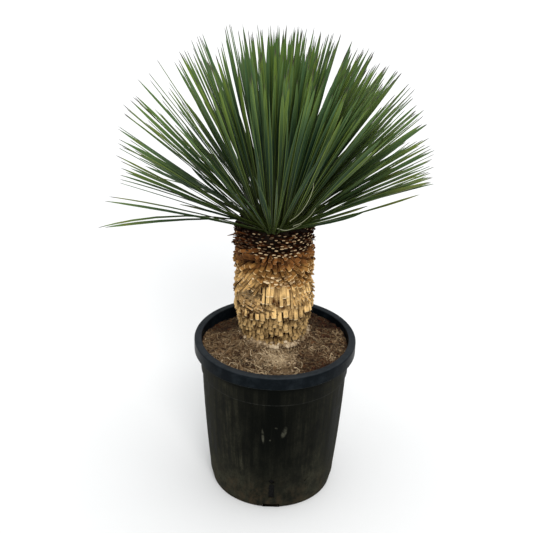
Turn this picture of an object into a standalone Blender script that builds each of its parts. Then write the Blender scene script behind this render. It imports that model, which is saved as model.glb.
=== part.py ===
"""Beaked yucca in a round nursery pot.

Four pieces: the moulded pot, the soil that fills it, the trunk clad in the stubs
of old leaves, and the head of stiff pointed leaves. Metres, +Z up. The origin is
the middle of the pot's flat underside. -Y is the side seen from the front.
"""
import math
import random

import bmesh
import bpy
from mathutils import Matrix, Vector

# Clearance between pieces that touch
GAP = 0.0003

# Pot
POT_SIDES = 60
POT_HEIGHT = 0.411
FOOT_RADIUS = 0.154
CHAMFER_TOP = 0.030
BODY_LOW_RADIUS = 0.1605
BODY_TOP = 0.3238
BODY_TOP_RADIUS = 0.181
BODY_BULGE = 0.0025
COLLAR_BOTTOM = 0.3268
COLLAR_LOW_RADIUS = 0.1835
COLLAR_TOP_RADIUS = 0.1862
WALL = 0.0032
FLOOR = 0.0035
RIM_RADIUS = 0.200
RIM_BOTTOM = 0.379
RIM_INNER_RADIUS = 0.1820
LIP = 0.003
RIM_ROUND = 0.003
FLUTE_DEPTH = 0.0010
FLUTE_STARTS = 0.045
FLUTE_ENDS = 0.310
FLUTE_STEPS = 4
SIDES_PER_FLUTE = 3
# Heights at which the inside of the body's wall is measured
INNER_HEIGHTS = (0.030, 0.100, 0.170, 0.245, 0.3218)

# Drainage: slots low in the wall, each over a channel under the foot
DRAIN_COUNT = 4
SLOT_WIDTH = 0.014
SLOT_BOTTOM = 0.034
SLOT_TOP = 0.080
SLOT_ARCH_STEPS = 6
SLOT_CUT_INNER = 0.140
SLOT_CUT_OUTER = 0.185
CHANNEL_WIDTH = 0.043
CHANNEL_HEIGHT = 0.0105
CHANNEL_INNER = 0.117
POCKET_WALL = 0.004
POCKET_OUTER = 0.1515
# How far a cut passes the face that it opens
CUT_MARGIN = 0.010

# Trunk
TRUNK_X = -0.005
TRUNK_Y = 0.035
TRUNK_LEAN = -0.012
TRUNK_SIDES = 30
TRUNK_FOOT_Z = 0.352
TRUNK_FOOT_RADIUS = 0.0775
TRUNK_TOP_Z = 0.697
# Reach of the stub tips from the trunk's axis, as height and radius
TRUNK_OUTLINE = (
    (0.407, 0.0800),
    (0.434, 0.0920),
    (0.489, 0.1020),
    (0.512, 0.1010),
    (0.566, 0.0940),
    (0.607, 0.0965),
    (0.675, 0.0985),
    (0.687, 0.0930),
    (0.697, 0.0700),
)
STUBS_START = 0.410
STUBS_NARROW = 0.592
LOW_STUB_PITCH = 0.0160
TOP_STUB_PITCH = 0.0096
LOW_STUB_DEPTH = 0.0055
TOP_STUB_DEPTH = 0.0075
# Height of a stub's tip as a share of its diamond, and how far tips stray
LOW_STUB_RISE = 0.34
TOP_STUB_RISE = 0.52
STUB_RISE_STRAY = 0.05
STUB_TURN_STRAY = 0.12
STUB_REACH_STRAY = 0.0025
STUB_SEED = 5

# Soil
SOIL_LEVEL = 0.3935
SOIL_MOUND = 0.0115
SOIL_MOUND_WIDTH = 0.034
SOIL_HOLLOW = 0.015
SOIL_HOLLOW_TURN = math.radians(133)
SOIL_HOLLOW_SPREAD = math.radians(28)
SOIL_LUMP = 0.0011
# Lumps: two slanting waves, as radians a metre along x and y and a start, and a finer crossing
SOIL_WAVES = ((61.0, 17.0, 0.0), (-29.0, 83.0, 1.0))
SOIL_FINE_WAVE_X = (151.0, 2.0)
SOIL_FINE_WAVE_Y = (139.0, 0.5)
# Lumps fade out within this distance of the trunk
SOIL_CALM = 0.012
SOIL_RINGS = 5
# The soil between the channels: its radius at the floor and level with their roofs
SOIL_BED_RADIUS = 0.108
SOIL_BED_TOP_RADIUS = 0.111

# Leaf head
HEAD_X = -0.010
HEAD_Y = 0.035
HEAD_Z = 0.699
HEAD_LEAN = math.radians(8)
CORE_RADIUS = 0.070
CORE_HEIGHT = 0.056
CORE_SIDES = 14
CORE_STEPS = 5
LEAF_COUNT = 326
LEAF_SPREAD = math.radians(74)
LEAF_SPREAD_POWER = 0.75
LEAF_ROOT_SPREAD = 1.2
LEAF_ROOT_SPREAD_LIMIT = math.radians(88)
LEAF_ROOT_RADIUS = 0.036
LEAF_ROOT_CLEARANCE = 0.005
LOW_LEAF_ROOT_CLEARANCE = 0.008
# Reach of the leaf tips from the head's centre, as degrees from its axis and reach
LEAF_REACH = (
    (0, 0.462),
    (20, 0.466),
    (40, 0.460),
    (50, 0.447),
    (60, 0.422),
    (70, 0.395),
    (82, 0.372),
)
LEAF_SHORTEST = 0.93
LEAF_JITTER = math.radians(2.3)
LEAF_TWIST = math.radians(16)
LEAF_ARCH = 0.010
GOLDEN_ANGLE = math.pi * (3.0 - math.sqrt(5.0))
LEAF_SEED = 162
# Leaves at the front stand more upright: by what share, and how narrow that front is
FRONT_UPRIGHT = 0.5
FRONT_NARROWING = 2.5
# The front view, as seen by the photo: how far it looks down, and how far it is rolled
FRONT_VIEW_DOWN = math.radians(25.94)
FRONT_VIEW_ROLL = math.radians(1.36)
# Where the head parts in the front view: degrees from upright, and half of the gap
PARTINGS = (
    (-54.0, 1.2),
    (-33.5, 1.6),
    (-26.5, 1.0),
    (21.5, 2.2),
    (42.5, 1.8),
    (59.5, 1.4),
)
# Cross-sections along a leaf: share of its length, half width, depth of the keel
LEAF_STATIONS = (
    (0.00, 0.0035, 0.0026),
    (0.60, 0.0076, 0.0022),
    (0.90, 0.0046, 0.0013),
)
YOUNG_LEAF_WIDTH = 0.70
# The lowest leaves stand apart: turn from +X, height angle, reach, arch
LOW_LEAVES = (
    (184, -1.5, 0.418, 0.016),
    (177, -4.5, 0.412, 0.010),
    (186, 9.0, 0.402, 0.010),
    (179, 8.0, 0.396, 0.008),
    (172, 11.0, 0.385, 0.004),
    (-20, 20.5, 0.365, -0.007),
    (-30, 22.0, 0.245, -0.004),
    (48, 4.0, 0.392, 0.008),
    (75, 2.0, 0.400, 0.010),
    (104, 0.5, 0.405, 0.012),
    (141, 2.0, 0.400, 0.010),
)
# A few leaves lean out to the front, below the upright ones: the same four values
FRONT_LEAVES = (
    (-109, 37.0, 0.420, 0.004),
    (-103, 30.0, 0.380, 0.006),
    (-97, 35.0, 0.400, 0.004),
    (-95, 40.0, 0.420, 0.004),
    (-92, 27.0, 0.360, 0.006),
    (-78, 23.0, 0.300, 0.010),
    (-76, 33.0, 0.380, 0.006),
    (-75, 37.0, 0.420, 0.006),
    (-71, 30.0, 0.380, 0.008),
)

# Colour as red, green and blue, then roughness
POT_FINISH = ((0.010, 0.011, 0.010), 0.50)
SOIL_FINISH = ((0.110, 0.075, 0.042), 0.95)
TRUNK_FINISH = ((0.300, 0.185, 0.085), 0.85)
LEAF_FINISH = ((0.035, 0.062, 0.020), 0.50)

# Edges that turn by more than this many degrees stay crisp
POT_CREASE = 32
SOIL_CREASE = 40
TRUNK_CREASE = 20
LEAF_CREASE = 30


def clear_scene():
    """Start from an empty scene."""
    for item in list(bpy.data.objects):
        bpy.data.objects.remove(item, do_unlink=True)


def make_material(name, finish):
    """Give a plain, non-metallic finish."""
    colour, roughness = finish
    material = bpy.data.materials.new(name)
    material.use_nodes = True
    shader = material.node_tree.nodes["Principled BSDF"]
    shader.inputs["Base Color"].default_value = (*colour, 1.0)
    shader.inputs["Roughness"].default_value = roughness
    shader.inputs["Metallic"].default_value = 0.0
    return material


def read_outline(outline, height):
    """Radius at a height, straight between the outline's points."""
    for (low_z, low_r), (high_z, high_r) in zip(outline, outline[1:]):
        if height <= high_z:
            share = max(0.0, (height - low_z) / (high_z - low_z))
            return low_r + (high_r - low_r) * share
    return outline[-1][1]


def ring(radius, height, sides, centre=(0.0, 0.0)):
    """Points of a level circle, counter-clockwise from above."""
    points = []
    for side in range(sides):
        angle = 2.0 * math.pi * side / sides
        x = centre[0] + radius * math.cos(angle)
        y = centre[1] + radius * math.sin(angle)
        points.append(Vector((x, y, height)))
    return points


def skin(mesh, rings, first_pole=None, last_pole=None):
    """Join rings of points with faces, and close the ends on a pole or a flat cap."""
    rows = [[mesh.verts.new(point) for point in points] for points in rings]
    sides = len(rows[0])
    for low, high in zip(rows, rows[1:]):
        for side in range(sides):
            after = (side + 1) % sides
            mesh.faces.new((low[side], low[after], high[after], high[side]))
    if first_pole is None:
        mesh.faces.new(list(reversed(rows[0])))
    else:
        pole = mesh.verts.new(first_pole)
        for side in range(sides):
            mesh.faces.new((rows[0][(side + 1) % sides], rows[0][side], pole))
    if last_pole is None:
        mesh.faces.new(rows[-1])
    else:
        pole = mesh.verts.new(last_pole)
        for side in range(sides):
            mesh.faces.new((rows[-1][side], rows[-1][(side + 1) % sides], pole))


def add_object(name, mesh):
    """Turn a finished bmesh into an object of that name."""
    data = bpy.data.meshes.new(name)
    mesh.to_mesh(data)
    mesh.free()
    item = bpy.data.objects.new(name, data)
    bpy.context.scene.collection.objects.link(item)
    return item


def combine(item, tools, operation, solver):
    """Fuse the tools to the item, or cut them from it, and remove them."""
    group = bpy.data.collections.new(item.name + "_tools")
    bpy.context.scene.collection.children.link(group)
    for tool in tools:
        bpy.context.scene.collection.objects.unlink(tool)
        group.objects.link(tool)
    boolean = item.modifiers.new(operation.title(), "BOOLEAN")
    boolean.operation = operation
    boolean.operand_type = "COLLECTION"
    boolean.collection = group
    boolean.solver = solver
    with bpy.context.temp_override(object=item, active_object=item):
        bpy.ops.object.modifier_apply(modifier=boolean.name)
    for tool in tools:
        bpy.data.objects.remove(tool, do_unlink=True)
    bpy.data.collections.remove(group)


def keep_main_body(item):
    """Fill hollows that fusing has sealed, and drop scraps: only the largest skin stays."""
    mesh = bmesh.new()
    mesh.from_mesh(item.data)
    unseen = set(mesh.verts)
    islands = []
    while unseen:
        island = {unseen.pop()}
        edge_of_island = list(island)
        while edge_of_island:
            vertex = edge_of_island.pop()
            for edge in vertex.link_edges:
                other = edge.other_vert(vertex)
                if other in unseen:
                    unseen.remove(other)
                    island.add(other)
                    edge_of_island.append(other)
        islands.append(island)
    islands.sort(key=len)
    spare = [vertex for island in islands[:-1] for vertex in island]
    bmesh.ops.delete(mesh, geom=spare, context="VERTS")
    mesh.to_mesh(item.data)
    mesh.free()


def finish_object(item, material, sharp_angle):
    """Give the piece its material, with smooth shading between crisp edges."""
    item.data.materials.clear()
    item.data.materials.append(material)
    item.data.shade_smooth()
    item.data.set_sharp_from_angle(angle=math.radians(sharp_angle))


def body_radius(height):
    """Outside of the pot's body: a cone that the soil has bulged a little."""
    share = (height - CHAMFER_TOP) / (BODY_TOP - CHAMFER_TOP)
    cone = BODY_LOW_RADIUS + (BODY_TOP_RADIUS - BODY_LOW_RADIUS) * share
    return cone + BODY_BULGE * 4.0 * share * (1.0 - share)


def inner_outline():
    """Inside of the pot's wall, from the floor up, as height and radius."""
    outline = [(FLOOR, FOOT_RADIUS - WALL)]
    for height in INNER_HEIGHTS:
        outline.append((height, body_radius(height) - WALL))
    outline.append((COLLAR_BOTTOM, COLLAR_LOW_RADIUS - WALL))
    outline.append((POT_HEIGHT - RIM_ROUND, RIM_INNER_RADIUS))
    return outline


def fluted_ring(radius, height):
    """A ring of the body with a rib at every third point and a flute between."""
    points = ring(radius, height, POT_SIDES)
    for side, point in enumerate(points):
        if side % SIDES_PER_FLUTE:
            share = (radius - FLUTE_DEPTH) / radius
            point.x *= share
            point.y *= share
    return points


def pot_shell():
    """The turned shell: flat foot, fluted body, collar, and a lip turned down outside."""
    rings = [
        ring(FOOT_RADIUS, 0.0, POT_SIDES),
        ring(BODY_LOW_RADIUS, CHAMFER_TOP, POT_SIDES),
    ]
    for step in range(FLUTE_STEPS + 1):
        height = FLUTE_STARTS + (FLUTE_ENDS - FLUTE_STARTS) * step / FLUTE_STEPS
        rings.append(fluted_ring(body_radius(height), height))
    lip_roof = POT_HEIGHT - LIP
    outside = (
        (BODY_TOP_RADIUS, BODY_TOP),
        (COLLAR_LOW_RADIUS, COLLAR_BOTTOM),
        (COLLAR_TOP_RADIUS, lip_roof),
        (RIM_RADIUS - LIP, lip_roof),
        (RIM_RADIUS - LIP, RIM_BOTTOM),
        (RIM_RADIUS, RIM_BOTTOM),
        (RIM_RADIUS, POT_HEIGHT - 2.0 * RIM_ROUND),
        (RIM_RADIUS - 0.3 * RIM_ROUND, POT_HEIGHT - RIM_ROUND),
        (RIM_RADIUS - 1.2 * RIM_ROUND, POT_HEIGHT),
        (RIM_INNER_RADIUS + RIM_ROUND, POT_HEIGHT),
    )
    for radius, height in outside:
        rings.append(ring(radius, height, POT_SIDES))
    for height, radius in reversed(inner_outline()):
        rings.append(ring(radius, height, POT_SIDES))
    mesh = bmesh.new()
    skin(mesh, rings, Vector((0.0, 0.0, 0.0)), Vector((0.0, 0.0, FLOOR)))
    return add_object("pot", mesh)


def drain_turns():
    """Direction of each drain, starting at the front."""
    return [2.0 * math.pi * drain / DRAIN_COUNT - math.pi / 2.0 for drain in range(DRAIN_COUNT)]


def radial_block(inner, outer, width, bottom, top, turn):
    """A block that reaches outwards from the axis in one direction."""
    half = width / 2.0
    outline = ((inner, -half), (outer, -half), (outer, half), (inner, half))
    rows = [[Vector((x, y, height)) for x, y in outline] for height in (bottom, top)]
    mesh = bmesh.new()
    skin(mesh, rows)
    bmesh.ops.rotate(mesh, cent=(0, 0, 0), matrix=Matrix.Rotation(turn, 3, "Z"), verts=mesh.verts)
    return add_object("block", mesh)


def slot_cutter(turn):
    """An upright slot with a round top, cut through the wall from outside."""
    half = SLOT_WIDTH / 2.0
    outline = [(-half, SLOT_BOTTOM), (half, SLOT_BOTTOM)]
    for step in range(SLOT_ARCH_STEPS + 1):
        angle = math.pi * step / SLOT_ARCH_STEPS
        outline.append((half * math.cos(angle), SLOT_TOP - half + half * math.sin(angle)))
    rows = [[Vector((radius, y, z)) for y, z in outline]
            for radius in (SLOT_CUT_INNER, SLOT_CUT_OUTER)]
    mesh = bmesh.new()
    skin(mesh, rows)
    bmesh.ops.rotate(mesh, cent=(0, 0, 0), matrix=Matrix.Rotation(turn, 3, "Z"), verts=mesh.verts)
    return add_object("slot", mesh)


def build_pot():
    """The pot, with its drain slots and the channels under its foot.

    Each channel is cut into a thicker pocket that grows out of the middle of the floor.
    """
    pot = pot_shell()
    pocket_top = CHANNEL_HEIGHT + POCKET_WALL
    pockets = []
    cutters = []
    for turn in drain_turns():
        pockets.append(radial_block(CHANNEL_INNER - POCKET_WALL, POCKET_OUTER,
                                    CHANNEL_WIDTH + 2.0 * POCKET_WALL,
                                    0.5 * FLOOR, pocket_top, turn))
        cutters.append(radial_block(CHANNEL_INNER, FOOT_RADIUS + CUT_MARGIN, CHANNEL_WIDTH,
                                    -CUT_MARGIN, CHANNEL_HEIGHT, turn))
        cutters.append(slot_cutter(turn))
    combine(pot, pockets, "UNION", "EXACT")
    combine(pot, cutters, "DIFFERENCE", "EXACT")
    finish_object(pot, make_material("pot_plastic", POT_FINISH), POT_CREASE)
    return pot


def soil_height(x, y):
    """Top of the soil: a mound round the trunk, a hollow at the back left, and lumps."""
    from_trunk = math.hypot(x - TRUNK_X, y - TRUNK_Y) - TRUNK_FOOT_RADIUS
    mound = SOIL_MOUND * math.exp(-(from_trunk / SOIL_MOUND_WIDTH) ** 2)
    turn = math.atan2(y, x) - SOIL_HOLLOW_TURN
    turn = math.atan2(math.sin(turn), math.cos(turn))
    out = min(1.0, math.hypot(x, y) / COLLAR_LOW_RADIUS)
    hollow = SOIL_HOLLOW * math.exp(-(turn / SOIL_HOLLOW_SPREAD) ** 2) * out ** 4
    lumps = sum(math.sin(across * x + along * y + start) for across, along, start in SOIL_WAVES)
    fine_x, start_x = SOIL_FINE_WAVE_X
    fine_y, start_y = SOIL_FINE_WAVE_Y
    lumps += math.sin(fine_x * x + start_x) * math.sin(fine_y * y + start_y)
    away = 1.0 - math.exp(-(from_trunk / SOIL_CALM) ** 2)
    return SOIL_LEVEL + mound - hollow + SOIL_LUMP * lumps * away


def build_soil():
    """The soil, filling the pot, with the plain hole that the trunk stands in."""
    outline = inner_outline()
    bed = CHANNEL_HEIGHT + POCKET_WALL + GAP
    rings = [
        ring(SOIL_BED_RADIUS, FLOOR + GAP, POT_SIDES),
        ring(SOIL_BED_TOP_RADIUS, bed, POT_SIDES),
        ring(read_outline(outline, bed) - GAP, bed, POT_SIDES),
    ]
    for height, radius in outline[1:-1]:
        rings.append(ring(radius - GAP, height, POT_SIDES))
    edge = []
    for point in ring(1.0, 0.0, POT_SIDES):
        guess = COLLAR_LOW_RADIUS - WALL
        height = soil_height(point.x * guess, point.y * guess)
        radius = read_outline(outline, height) - GAP
        edge.append(Vector((point.x * radius, point.y * radius, height)))
    hole_radius = (TRUNK_FOOT_RADIUS + GAP) / math.cos(math.pi / POT_SIDES)
    centre = (TRUNK_X, TRUNK_Y)
    mouth = ring(hole_radius, 0.0, POT_SIDES, centre)
    for step in range(SOIL_RINGS + 1):
        share = step / SOIL_RINGS
        points = []
        for outer, inner in zip(edge, mouth):
            x = outer.x + (inner.x - outer.x) * share
            y = outer.y + (inner.y - outer.y) * share
            points.append(Vector((x, y, soil_height(x, y))))
        rings.append(edge if step == 0 else points)
    rings.append(ring(hole_radius, TRUNK_FOOT_Z - GAP, POT_SIDES, centre))
    mesh = bmesh.new()
    skin(mesh, rings, Vector((0.0, 0.0, FLOOR + GAP)),
         Vector((TRUNK_X, TRUNK_Y, TRUNK_FOOT_Z - GAP)))
    soil = add_object("soil", mesh)
    finish_object(soil, make_material("soil_mix", SOIL_FINISH), SOIL_CREASE)
    return soil


def stub_rows():
    """Heights of the lattice of stubs: tall diamonds low down, short ones on top."""
    heights = [STUBS_START]
    while heights[-1] < TRUNK_TOP_Z - TOP_STUB_PITCH:
        pitch = LOW_STUB_PITCH if heights[-1] < STUBS_NARROW else TOP_STUB_PITCH
        heights.append(heights[-1] + pitch)
    heights[-1] = TRUNK_TOP_Z
    return heights


def stub_depth(height):
    """How far a stub stands out of the trunk."""
    return LOW_STUB_DEPTH if height < STUBS_NARROW else TOP_STUB_DEPTH


def trunk_point(turns, radius, height):
    """A point round the slightly leaning trunk, counted in sides."""
    angle = 2.0 * math.pi * turns / TRUNK_SIDES
    x = TRUNK_X + TRUNK_LEAN * max(0.0, height - STUBS_START) + radius * math.cos(angle)
    y = TRUNK_Y + radius * math.sin(angle)
    return Vector((x, y, height))


def build_trunk():
    """The trunk: a plain foot in the soil, clad above it in a lattice of leaf stubs."""
    chance = random.Random(STUB_SEED)
    mesh = bmesh.new()
    heights = stub_rows()
    rows = []
    for number, height in enumerate(heights):
        radius = read_outline(TRUNK_OUTLINE, height) - stub_depth(height)
        if number == 0:
            radius = TRUNK_FOOT_RADIUS
        shift = 0.5 * (number % 2)
        rows.append([mesh.verts.new(trunk_point(side + shift, radius, height))
                     for side in range(TRUNK_SIDES)])
    foot = [mesh.verts.new(trunk_point(side, TRUNK_FOOT_RADIUS, TRUNK_FOOT_Z))
            for side in range(TRUNK_SIDES)]
    mesh.faces.new(list(reversed(foot)))
    for side in range(TRUNK_SIDES):
        after = (side + 1) % TRUNK_SIDES
        mesh.faces.new((foot[side], foot[after], rows[0][after], rows[0][side]))
        mesh.faces.new((rows[0][side], rows[0][after], rows[1][side]))
    for number in range(1, len(rows) - 1):
        odd = number % 2
        low_z, high_z = heights[number - 1], heights[number + 1]
        for side in range(TRUNK_SIDES):
            left = rows[number][side]
            right = rows[number][(side + 1) % TRUNK_SIDES]
            below = rows[number - 1][(side + odd) % TRUNK_SIDES]
            above = rows[number + 1][(side + odd) % TRUNK_SIDES]
            rise = LOW_STUB_RISE if heights[number] < STUBS_NARROW else TOP_STUB_RISE
            rise += chance.uniform(-STUB_RISE_STRAY, STUB_RISE_STRAY)
            height = low_z + (high_z - low_z) * rise
            reach = read_outline(TRUNK_OUTLINE, height) - STUB_REACH_STRAY * chance.random()
            turns = side + 0.5 * (1 + odd) + chance.uniform(-STUB_TURN_STRAY, STUB_TURN_STRAY)
            tip = mesh.verts.new(trunk_point(turns, reach, height))
            for first, second in ((below, right), (right, above), (above, left), (left, below)):
                mesh.faces.new((first, second, tip))
    last = len(rows) - 1
    for side in range(TRUNK_SIDES):
        after = (side + 1) % TRUNK_SIDES
        below = rows[last - 1][(side + last % 2) % TRUNK_SIDES]
        mesh.faces.new((below, rows[last][after], rows[last][side]))
    mesh.faces.new(rows[last])
    trunk = add_object("trunk", mesh)
    finish_object(trunk, make_material("dry_leaf_stubs", TRUNK_FINISH), TRUNK_CREASE)
    return trunk


def leaf_direction(polar, turn):
    """Unit vector at an angle from the head's axis, which leans to the back."""
    flat = math.sin(polar)
    upright = Vector((flat * math.cos(turn), flat * math.sin(turn), math.cos(polar)))
    return Matrix.Rotation(-HEAD_LEAN, 3, "X") @ upright


def move_off_partings(direction):
    """Turn a leaf in the front view, where it would close one of the partings."""
    view = Vector((0.0, math.cos(FRONT_VIEW_DOWN), -math.sin(FRONT_VIEW_DOWN)))
    up = Vector((0.0, math.sin(FRONT_VIEW_DOWN), math.cos(FRONT_VIEW_DOWN)))
    seen = math.degrees(math.atan2(direction.x, direction.dot(up)) + FRONT_VIEW_ROLL)
    for middle, half_gap in PARTINGS:
        offset = seen - middle
        if abs(offset) < half_gap:
            missing = math.copysign(half_gap, offset) - offset
            return Matrix.Rotation(math.radians(missing), 3, view) @ direction
    return direction


def leaf_blade(root, tip, twist, width, arch):
    """One stiff leaf: flat above, keeled below, widest past its middle, with a sharp tip."""
    along = tip - root
    axis = along.normalized()
    turn = math.atan2(axis.y, axis.x)
    across = Vector((-math.sin(turn), math.cos(turn), 0.0))
    across = Matrix.Rotation(twist, 3, axis) @ across
    above = axis.cross(across)
    rows = []
    for share, half, keel in LEAF_STATIONS:
        lift = Vector((0.0, 0.0, arch * 4.0 * share * (1.0 - share)))
        middle = root + along * share + lift
        side = across * half * width
        rows.append([middle + side, middle - side, middle - above * keel])
    mesh = bmesh.new()
    skin(mesh, rows, None, tip)
    return add_object("leaf", mesh)


def grown_leaves():
    """The spiral of leaves, young and upright at the top, old and spread below."""
    chance = random.Random(LEAF_SEED)
    centre = Vector((HEAD_X, HEAD_Y, HEAD_Z))
    leaves = []
    for number in range(LEAF_COUNT):
        age = (number + 0.5) / LEAF_COUNT
        polar = LEAF_SPREAD * age ** LEAF_SPREAD_POWER + chance.gauss(0.0, LEAF_JITTER)
        turn = number * GOLDEN_ANGLE + chance.gauss(0.0, LEAF_JITTER)
        polar *= 1.0 - FRONT_UPRIGHT * max(0.0, -math.sin(turn)) ** FRONT_NARROWING
        reach = read_outline(LEAF_REACH, math.degrees(polar))
        reach *= 1.0 - (1.0 - LEAF_SHORTEST) * chance.random() ** 2
        twist = chance.gauss(0.0, LEAF_TWIST)
        arch = LEAF_ARCH * age * chance.uniform(0.2, 1.0)
        width = YOUNG_LEAF_WIDTH + (1.0 - YOUNG_LEAF_WIDTH) * min(1.0, 4.0 * age)
        root_polar = min(LEAF_ROOT_SPREAD_LIMIT, polar * LEAF_ROOT_SPREAD)
        root = centre + LEAF_ROOT_RADIUS * leaf_direction(root_polar, turn)
        root.z = max(root.z, TRUNK_TOP_Z + LEAF_ROOT_CLEARANCE)
        tip = centre + reach * move_off_partings(leaf_direction(polar, turn))
        leaves.append(leaf_blade(root, tip, twist, width, arch))
    return leaves


def single_leaves():
    """The few leaves that were placed one by one: the lowest, and those that lean out in front."""
    centre = Vector((HEAD_X, HEAD_Y, HEAD_Z))
    leaves = []
    for turn, rise, reach, arch in LOW_LEAVES + FRONT_LEAVES:
        turn, rise = math.radians(turn), math.radians(rise)
        level = Vector((math.cos(turn), math.sin(turn), 0.0))
        root = centre + level * LEAF_ROOT_RADIUS
        root.z = TRUNK_TOP_Z + LOW_LEAF_ROOT_CLEARANCE
        tip = centre + reach * (level * math.cos(rise) + Vector((0.0, 0.0, math.sin(rise))))
        leaves.append(leaf_blade(root, tip, 0.0, 1.0, arch))
    return leaves


def build_leaf_head():
    """The head: a small dome on top of the trunk with every leaf fused into it."""
    base = TRUNK_TOP_Z + GAP
    rings = [ring(CORE_RADIUS, base, CORE_SIDES, (HEAD_X, HEAD_Y))]
    for step in range(1, CORE_STEPS):
        angle = 0.5 * math.pi * step / CORE_STEPS
        rings.append(ring(CORE_RADIUS * math.cos(angle), base + CORE_HEIGHT * math.sin(angle),
                          CORE_SIDES, (HEAD_X, HEAD_Y)))
    mesh = bmesh.new()
    skin(mesh, rings, None, Vector((HEAD_X, HEAD_Y, base + CORE_HEIGHT)))
    head = add_object("leaf_head", mesh)
    combine(head, grown_leaves() + single_leaves(), "UNION", "MANIFOLD")
    keep_main_body(head)
    finish_object(head, make_material("green_leaf", LEAF_FINISH), LEAF_CREASE)
    return head


def main():
    clear_scene()
    build_pot()
    build_soil()
    build_trunk()
    build_leaf_head()


main()
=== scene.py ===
import math
import random

import bmesh
import bpy
import numpy as np
from mathutils import Matrix, Vector, noise


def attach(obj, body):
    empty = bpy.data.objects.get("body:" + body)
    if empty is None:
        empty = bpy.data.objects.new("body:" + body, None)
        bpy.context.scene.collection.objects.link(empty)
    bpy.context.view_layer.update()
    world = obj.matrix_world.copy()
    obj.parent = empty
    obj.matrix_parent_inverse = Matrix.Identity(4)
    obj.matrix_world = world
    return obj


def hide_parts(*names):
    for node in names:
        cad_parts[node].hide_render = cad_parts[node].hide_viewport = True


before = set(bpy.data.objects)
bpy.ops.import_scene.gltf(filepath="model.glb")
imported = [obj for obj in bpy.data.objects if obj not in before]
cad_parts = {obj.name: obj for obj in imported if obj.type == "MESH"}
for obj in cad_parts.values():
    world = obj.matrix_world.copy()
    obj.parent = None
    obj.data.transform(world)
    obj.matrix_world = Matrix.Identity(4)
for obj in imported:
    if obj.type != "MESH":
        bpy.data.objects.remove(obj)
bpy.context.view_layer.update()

# Looks of a beaked yucca in its nursery pot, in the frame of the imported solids.
# Metres, +Z up. The origin is the middle of the pot's underside, and -Y is the front.

# Camera: where it stands, how far it looks down from level, and how far it is rolled
CAMERA_PLACE = (-0.02536, -2.0584, 1.6013)
CAMERA_DOWN = math.radians(25.941)
CAMERA_ROLL = math.radians(1.363)
SENSOR_MM = 36.0
LENS_MM = 64.52

# Studio: the air's brightness, each soft lamp's place, softness in degrees and power, and the floor
AIR_LIGHT = 0.62
SOFT_LAMPS = (("soft_key", (0.5, -3.0, 2.9), 30.0, 1.9), ("soft_top", (0.4, 0.3, 4.0), 60.0, 1.3))
LAMPS_AIM = Vector((0.0, 0.0, 0.6))
FLOOR_SIZE = 400.0
FLOOR_DROP = 0.0005

# Pot
POT_SIDES = 180
POT_HEIGHT = 0.411
FOOT_RADIUS = 0.154
FOOT_ROUND = 0.0015
CHAMFER_TOP = 0.030
BODY_LOW_RADIUS = 0.1605
BODY_TOP = 0.3238
BODY_TOP_RADIUS = 0.181
BODY_BULGE = 0.0025
COLLAR_BOTTOM = 0.3268
COLLAR_LOW_RADIUS = 0.1835
COLLAR_TOP_RADIUS = 0.1862
COLLAR_STEP = 0.0018
WALL = 0.0032
FLOOR = 0.0035
INNER_HEIGHTS = (0.030, 0.100, 0.170, 0.245, 0.3218)
RIM_RADIUS = 0.200
RIM_BOTTOM = 0.379
RIM_INNER_RADIUS = 0.1820
LIP = 0.003
RIM_ROUND_OUT = 0.0050
RIM_ROUND_IN = 0.0025
# Width of the small flats that soften the collar's and the lip's sharp edges
SOFT_EDGE = 0.0006
LIP_EDGE = 0.0008
FLUTE_COUNT = 20
FLUTE_DEPTH = 0.0007
FLUTE_STARTS = 0.045
FLUTE_ENDS = 0.310
FLUTE_STEPS = 10
POT_CREASE = 32

# Drainage. A slot's cutter is long enough to pass the wall.
DRAIN_SIDES = ("front", "right", "back", "left")
SLOT_CUT_PLACE = 0.165
SLOT_CUT_LENGTH = 0.050
SLOT_WIDTH = 0.014
SLOT_BOTTOM = 0.034
SLOT_TOP = 0.080
CHANNEL_WIDTH = 0.043
CHANNEL_HEIGHT = 0.0105
CHANNEL_INNER = 0.117
POCKET_WALL = 0.004
POCKET_OUTER = 0.1515
CUT_MARGIN = 0.010
# The front slot is broken out above into a small diamond, and a short slit slants beside it:
# centre and size, then turn round the pot and lean in degrees
BROKEN_CUTS = (
    ((0.165, 0.0, 0.0890), (0.050, 0.0105, 0.0125), -90.0, 45.0),
    ((0.165, 0.0, 0.0800), (0.030, 0.0026, 0.0140), -58.5, -38.0),
)
# A near-black fill in a channel, painted shade under the foot: centre and size
CHANNEL_SHADE_BLOCK = ((0.136, 0.0, 0.0038), (0.034, 0.0424, 0.0075))
CHANNEL_SHADE_CUTS = 9

# Soil
GAP = 0.0003
SOIL_SIDES = 240
SOIL_LEVEL = 0.3935
SOIL_MOUND = 0.0155
SOIL_MOUND_WIDTH = 0.034
SOIL_HOLLOW = 0.015
SOIL_HOLLOW_TURN = math.radians(133)
SOIL_HOLLOW_SPREAD = math.radians(28)
# Lumps on the soil: height, how close together, and which part of the noise
SOIL_LUMPS = ((0.0042, 22.0, 0.3), (0.0042, 70.0, 4.1), (0.0026, 170.0, 2.6))
SOIL_BED_RADIUS = 0.108
SOIL_BED_TOP_RADIUS = 0.111
SOIL_EDGE_GAP = 0.0015
SOIL_RINGS = 44
SOIL_INNER_SHARE = 0.92
# Crumbs and fibres: how many, the smallest, and how much larger they may be
CRUMB_COUNT = 1300
CRUMB_SIZE = 0.0010
CRUMB_EXTRA_SIZE = 0.0040
FIBRE_COUNT = 1900
FIBRE_LENGTH = 0.006
FIBRE_EXTRA_LENGTH = 0.026
FIBRE_HALF = 0.00030
FIBRE_EXTRA_HALF = 0.0009
BASE_BIT_COUNT = 240
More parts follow.
